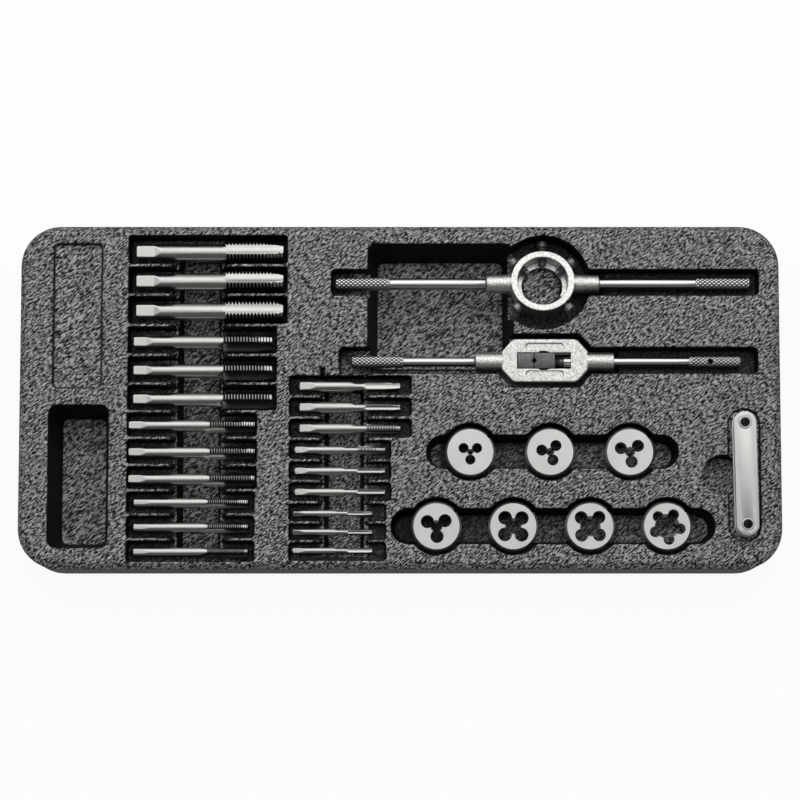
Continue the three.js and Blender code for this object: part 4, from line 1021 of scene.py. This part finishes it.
def cheek(node, middle):
    """An outer plate of the case, with round ends and a hole for each eyelet."""
    low, high = box_mm(node)
    span = EYELET_SPAN / 2
    end = span + CASE_HALF
    outline = [(y, x) for x, y in stadium(-end, end, -CASE_HALF, CASE_HALF, CASE_STEPS)]
    below, above, radius = low.z - OVERRUN, high.z + OVERRUN, EYELET["tube"] + EYELET["play"]
    holes = [post(0, y, below, above, radius) for y in (-span, span)]
    bm = worked(plate(outline, low.z, high.z), cuts=holes, edge=CASE_EDGE, edge_steps=3)
    moved(bm, (middle.x, middle.y, 0), GAUGE_TURN)
    name = node.replace("gauge_", "") + "_plate"
    piece(name, bm, "pitch_gauge", [GAUGE_NICKEL], [node])


def eyelet(node):
    """A tube with a rolled flange at both ends."""
    low, high = box_mm(node)
    middle = (low + high) / 2
    tube, hole, flange, rise = (EYELET[key] for key in ("tube", "hole", "flange", "rise"))
    half = (high.z - low.z) / 2
    profile = [(-half + rise, tube), (half - rise, tube)]
    for side in (1, -1):
        rolled = []
        for i in range(EYELET["steps"] + 1):
            angle = TURN / 2 * i / EYELET["steps"]
            along = side * (half - rise + rise * math.sin(angle))
            rolled.append((along, (hole + flange) / 2 + (flange - hole) / 2 * math.cos(angle)))
        profile += rolled if side > 0 else rolled[::-1]
    ring = moved(upright(spun(profile, HOLE_ROUND, closed=True)), middle)
    name = node.replace("gauge_", "") + "_ring"
    piece(name, ring, "pitch_gauge", [GAUGE_NICKEL], [node])


def toothed_leaf(index):
    """A leaf with the teeth of its thread pitch along both edges towards its tip."""
    node = f"gauge_leaf_{index + 1}"
    low, high = box_mm(node)
    pitch = LEAF_PITCHES[index]
    depth = LEAF["tooth_share"] * pitch
    half, reach, tip = LEAF["half"], LEAF["reach"], LEAF["tip_share"] * LEAF["half"]
    side = [(half, 0), (half, half + LEAF["toothed"] - reach)]
    y = side[-1][1]
    while y - pitch > half - reach:
        side += [(half - depth, y - pitch / 2), (half, y - pitch)]
        y -= pitch
    side += [(tip, -reach)]
    blade = plate(side[::-1] + [(-x, y) for x, y in side], 0, LEAF["thick"])
    hub = post(0, 0, 0, LEAF["thick"], LEAF["root"])
    radius = EYELET["tube"] + EYELET["play"]
    hole = post(0, 0, -OVERRUN, LEAF["thick"] + OVERRUN, radius)
    bm = worked(hub, joins=[blade], cuts=[hole])
    at_back = index % 2 == 0
    pivot = middle_mm("gauge_eyelet_back" if at_back else "gauge_eyelet_front")
    moved(bm, (pivot.x, pivot.y, low.z), GAUGE_TURN + (0 if at_back else TURN / 2))
    piece(f"pitch_leaf_{index + 1}", bm, node, [GAUGE_NICKEL], [node])


# The object

tray_skin()
for size_name in SIZES:
    for turn in SET_LEAD_SHARES:
        tap(size_name, turn)
for name, die in DIES.items():
    round_die(name, die)
die_stock()
tap_wrench()
for side in ("lower", "upper"):
    cheek(f"gauge_cheek_{side}", middle_mm("gauge_cheek_upper"))
eyelet("gauge_eyelet_back")
eyelet("gauge_eyelet_front")
for index in range(len(LEAF_PITCHES)):
    toothed_leaf(index)

# Floor, light and camera

# How far below the tray's foot the floor lies, so that their faces don't meet
FLOOR_DROP = 0.2
FLOOR_SIZE = 12
# Share of the floor that glows white to the camera. The rest is matt and keeps the shadow.
FLOOR_GLOW = 0.93
WORLD_STRENGTH = 0.14
# Millimetres of the deck to a pixel, and the frame's width in pixels
PIXEL = 0.5025
PICTURE_WIDTH = 800
DECK_Z = box_mm("tray")[1].z
CAMERA_SOUTH = -179
CAMERA_HEIGHT = 1120
PICTURE_CENTRE = (0, -1.9)
SENSOR = 36
SHIFT = 0.2


def floor():
    """White paper that shows white to the camera, to metal and to glass, and keeps the tray's shadow."""
    bm = bmesh.new()
    bmesh.ops.create_grid(bm, x_segments=1, y_segments=1, size=FLOOR_SIZE)
    bmesh.ops.translate(bm, verts=bm.verts, vec=(0, 0, -FLOOR_DROP * MM))
    obj = linked("floor", as_mesh("floor", bm))
    paper = bpy.data.materials.new("white_paper")
    paper.use_nodes = True
    tree = paper.node_tree
    tree.nodes.clear()
    path = add(tree, "ShaderNodeLightPath").outputs
    seen = path["Is Camera Ray"]
    for kind in ("Is Glossy Ray", "Is Transmission Ray"):
        seen = calculated(tree, "MAXIMUM", seen, path[kind])
    share = calculated(tree, "MULTIPLY", seen, FLOOR_GLOW)
    matt = add(tree, "ShaderNodeBsdfDiffuse", Color=linear("#ffffff")).outputs[0]
    glow = add(tree, "ShaderNodeEmission", Color=(1, 1, 1, 1), Strength=1).outputs[0]
    mix = add(tree, "ShaderNodeMixShader")
    tree.links.new(share, mix.inputs[0])
    tree.links.new(matt, mix.inputs[1])
    tree.links.new(glow, mix.inputs[2])
    output = add(tree, "ShaderNodeOutputMaterial")
    tree.links.new(mix.outputs[0], output.inputs[0])
    obj.data.materials.append(paper)


def panel(name, place, size, radiance):
    """A soft rectangular lamp that faces the tray, given by how bright its face is."""
    light = bpy.data.lights.new(name, "AREA")
    light.shape, light.size, light.size_y = "RECTANGLE", *size
    light.energy = radiance * math.pi * size[0] * size[1]
    obj = linked(name, light)
    obj.location = place
    obj.rotation_euler = (-Vector(place)).to_track_quat("-Z", "Y").to_euler()


def world():
    """A weak even light from all sides."""
    made = bpy.data.worlds.new("studio")
    bpy.context.scene.world = made
    made.use_nodes = True
    background = made.node_tree.nodes["Background"]
    background.inputs["Color"].default_value = linear("#ffffff")
    background.inputs["Strength"].default_value = WORLD_STRENGTH


def camera():
    """Over the tray's front edge, as in the photo: part of the slant is tilt and the rest is shift."""
    data = bpy.data.cameras.new("camera")
    obj = linked("camera", data)
    bpy.context.scene.camera = obj
    place = Vector((0, CAMERA_SOUTH, DECK_Z + CAMERA_HEIGHT)) * MM
    target = Vector((PICTURE_CENTRE[0], PICTURE_CENTRE[1], DECK_Z)) * MM
    distance = (target - place).length
    data.sensor_width = SENSOR
    data.lens = SENSOR * distance / (PICTURE_WIDTH * PIXEL * MM)
    data.shift_y = SHIFT
    slant = math.atan2(target.y - place.y, place.z - target.z)
    obj.location = place
    obj.rotation_euler = (slant - math.atan(SHIFT * data.sensor_width / data.lens), 0, 0)
    data.clip_start, data.clip_end = 0.01, 20


floor()
world()
panel("north_panel", place=(0, 1.18, 1.62), size=(4, 1.5), radiance=1.8)
panel("low_panel", place=(0, 1.85, 0.76), size=(4, 0.8), radiance=0.7)
panel("top_panel", place=(0, 0.17, 2.2), size=(3, 0.9), radiance=1.05)
camera()
bpy.context.scene.view_settings.view_transform = "Standard"
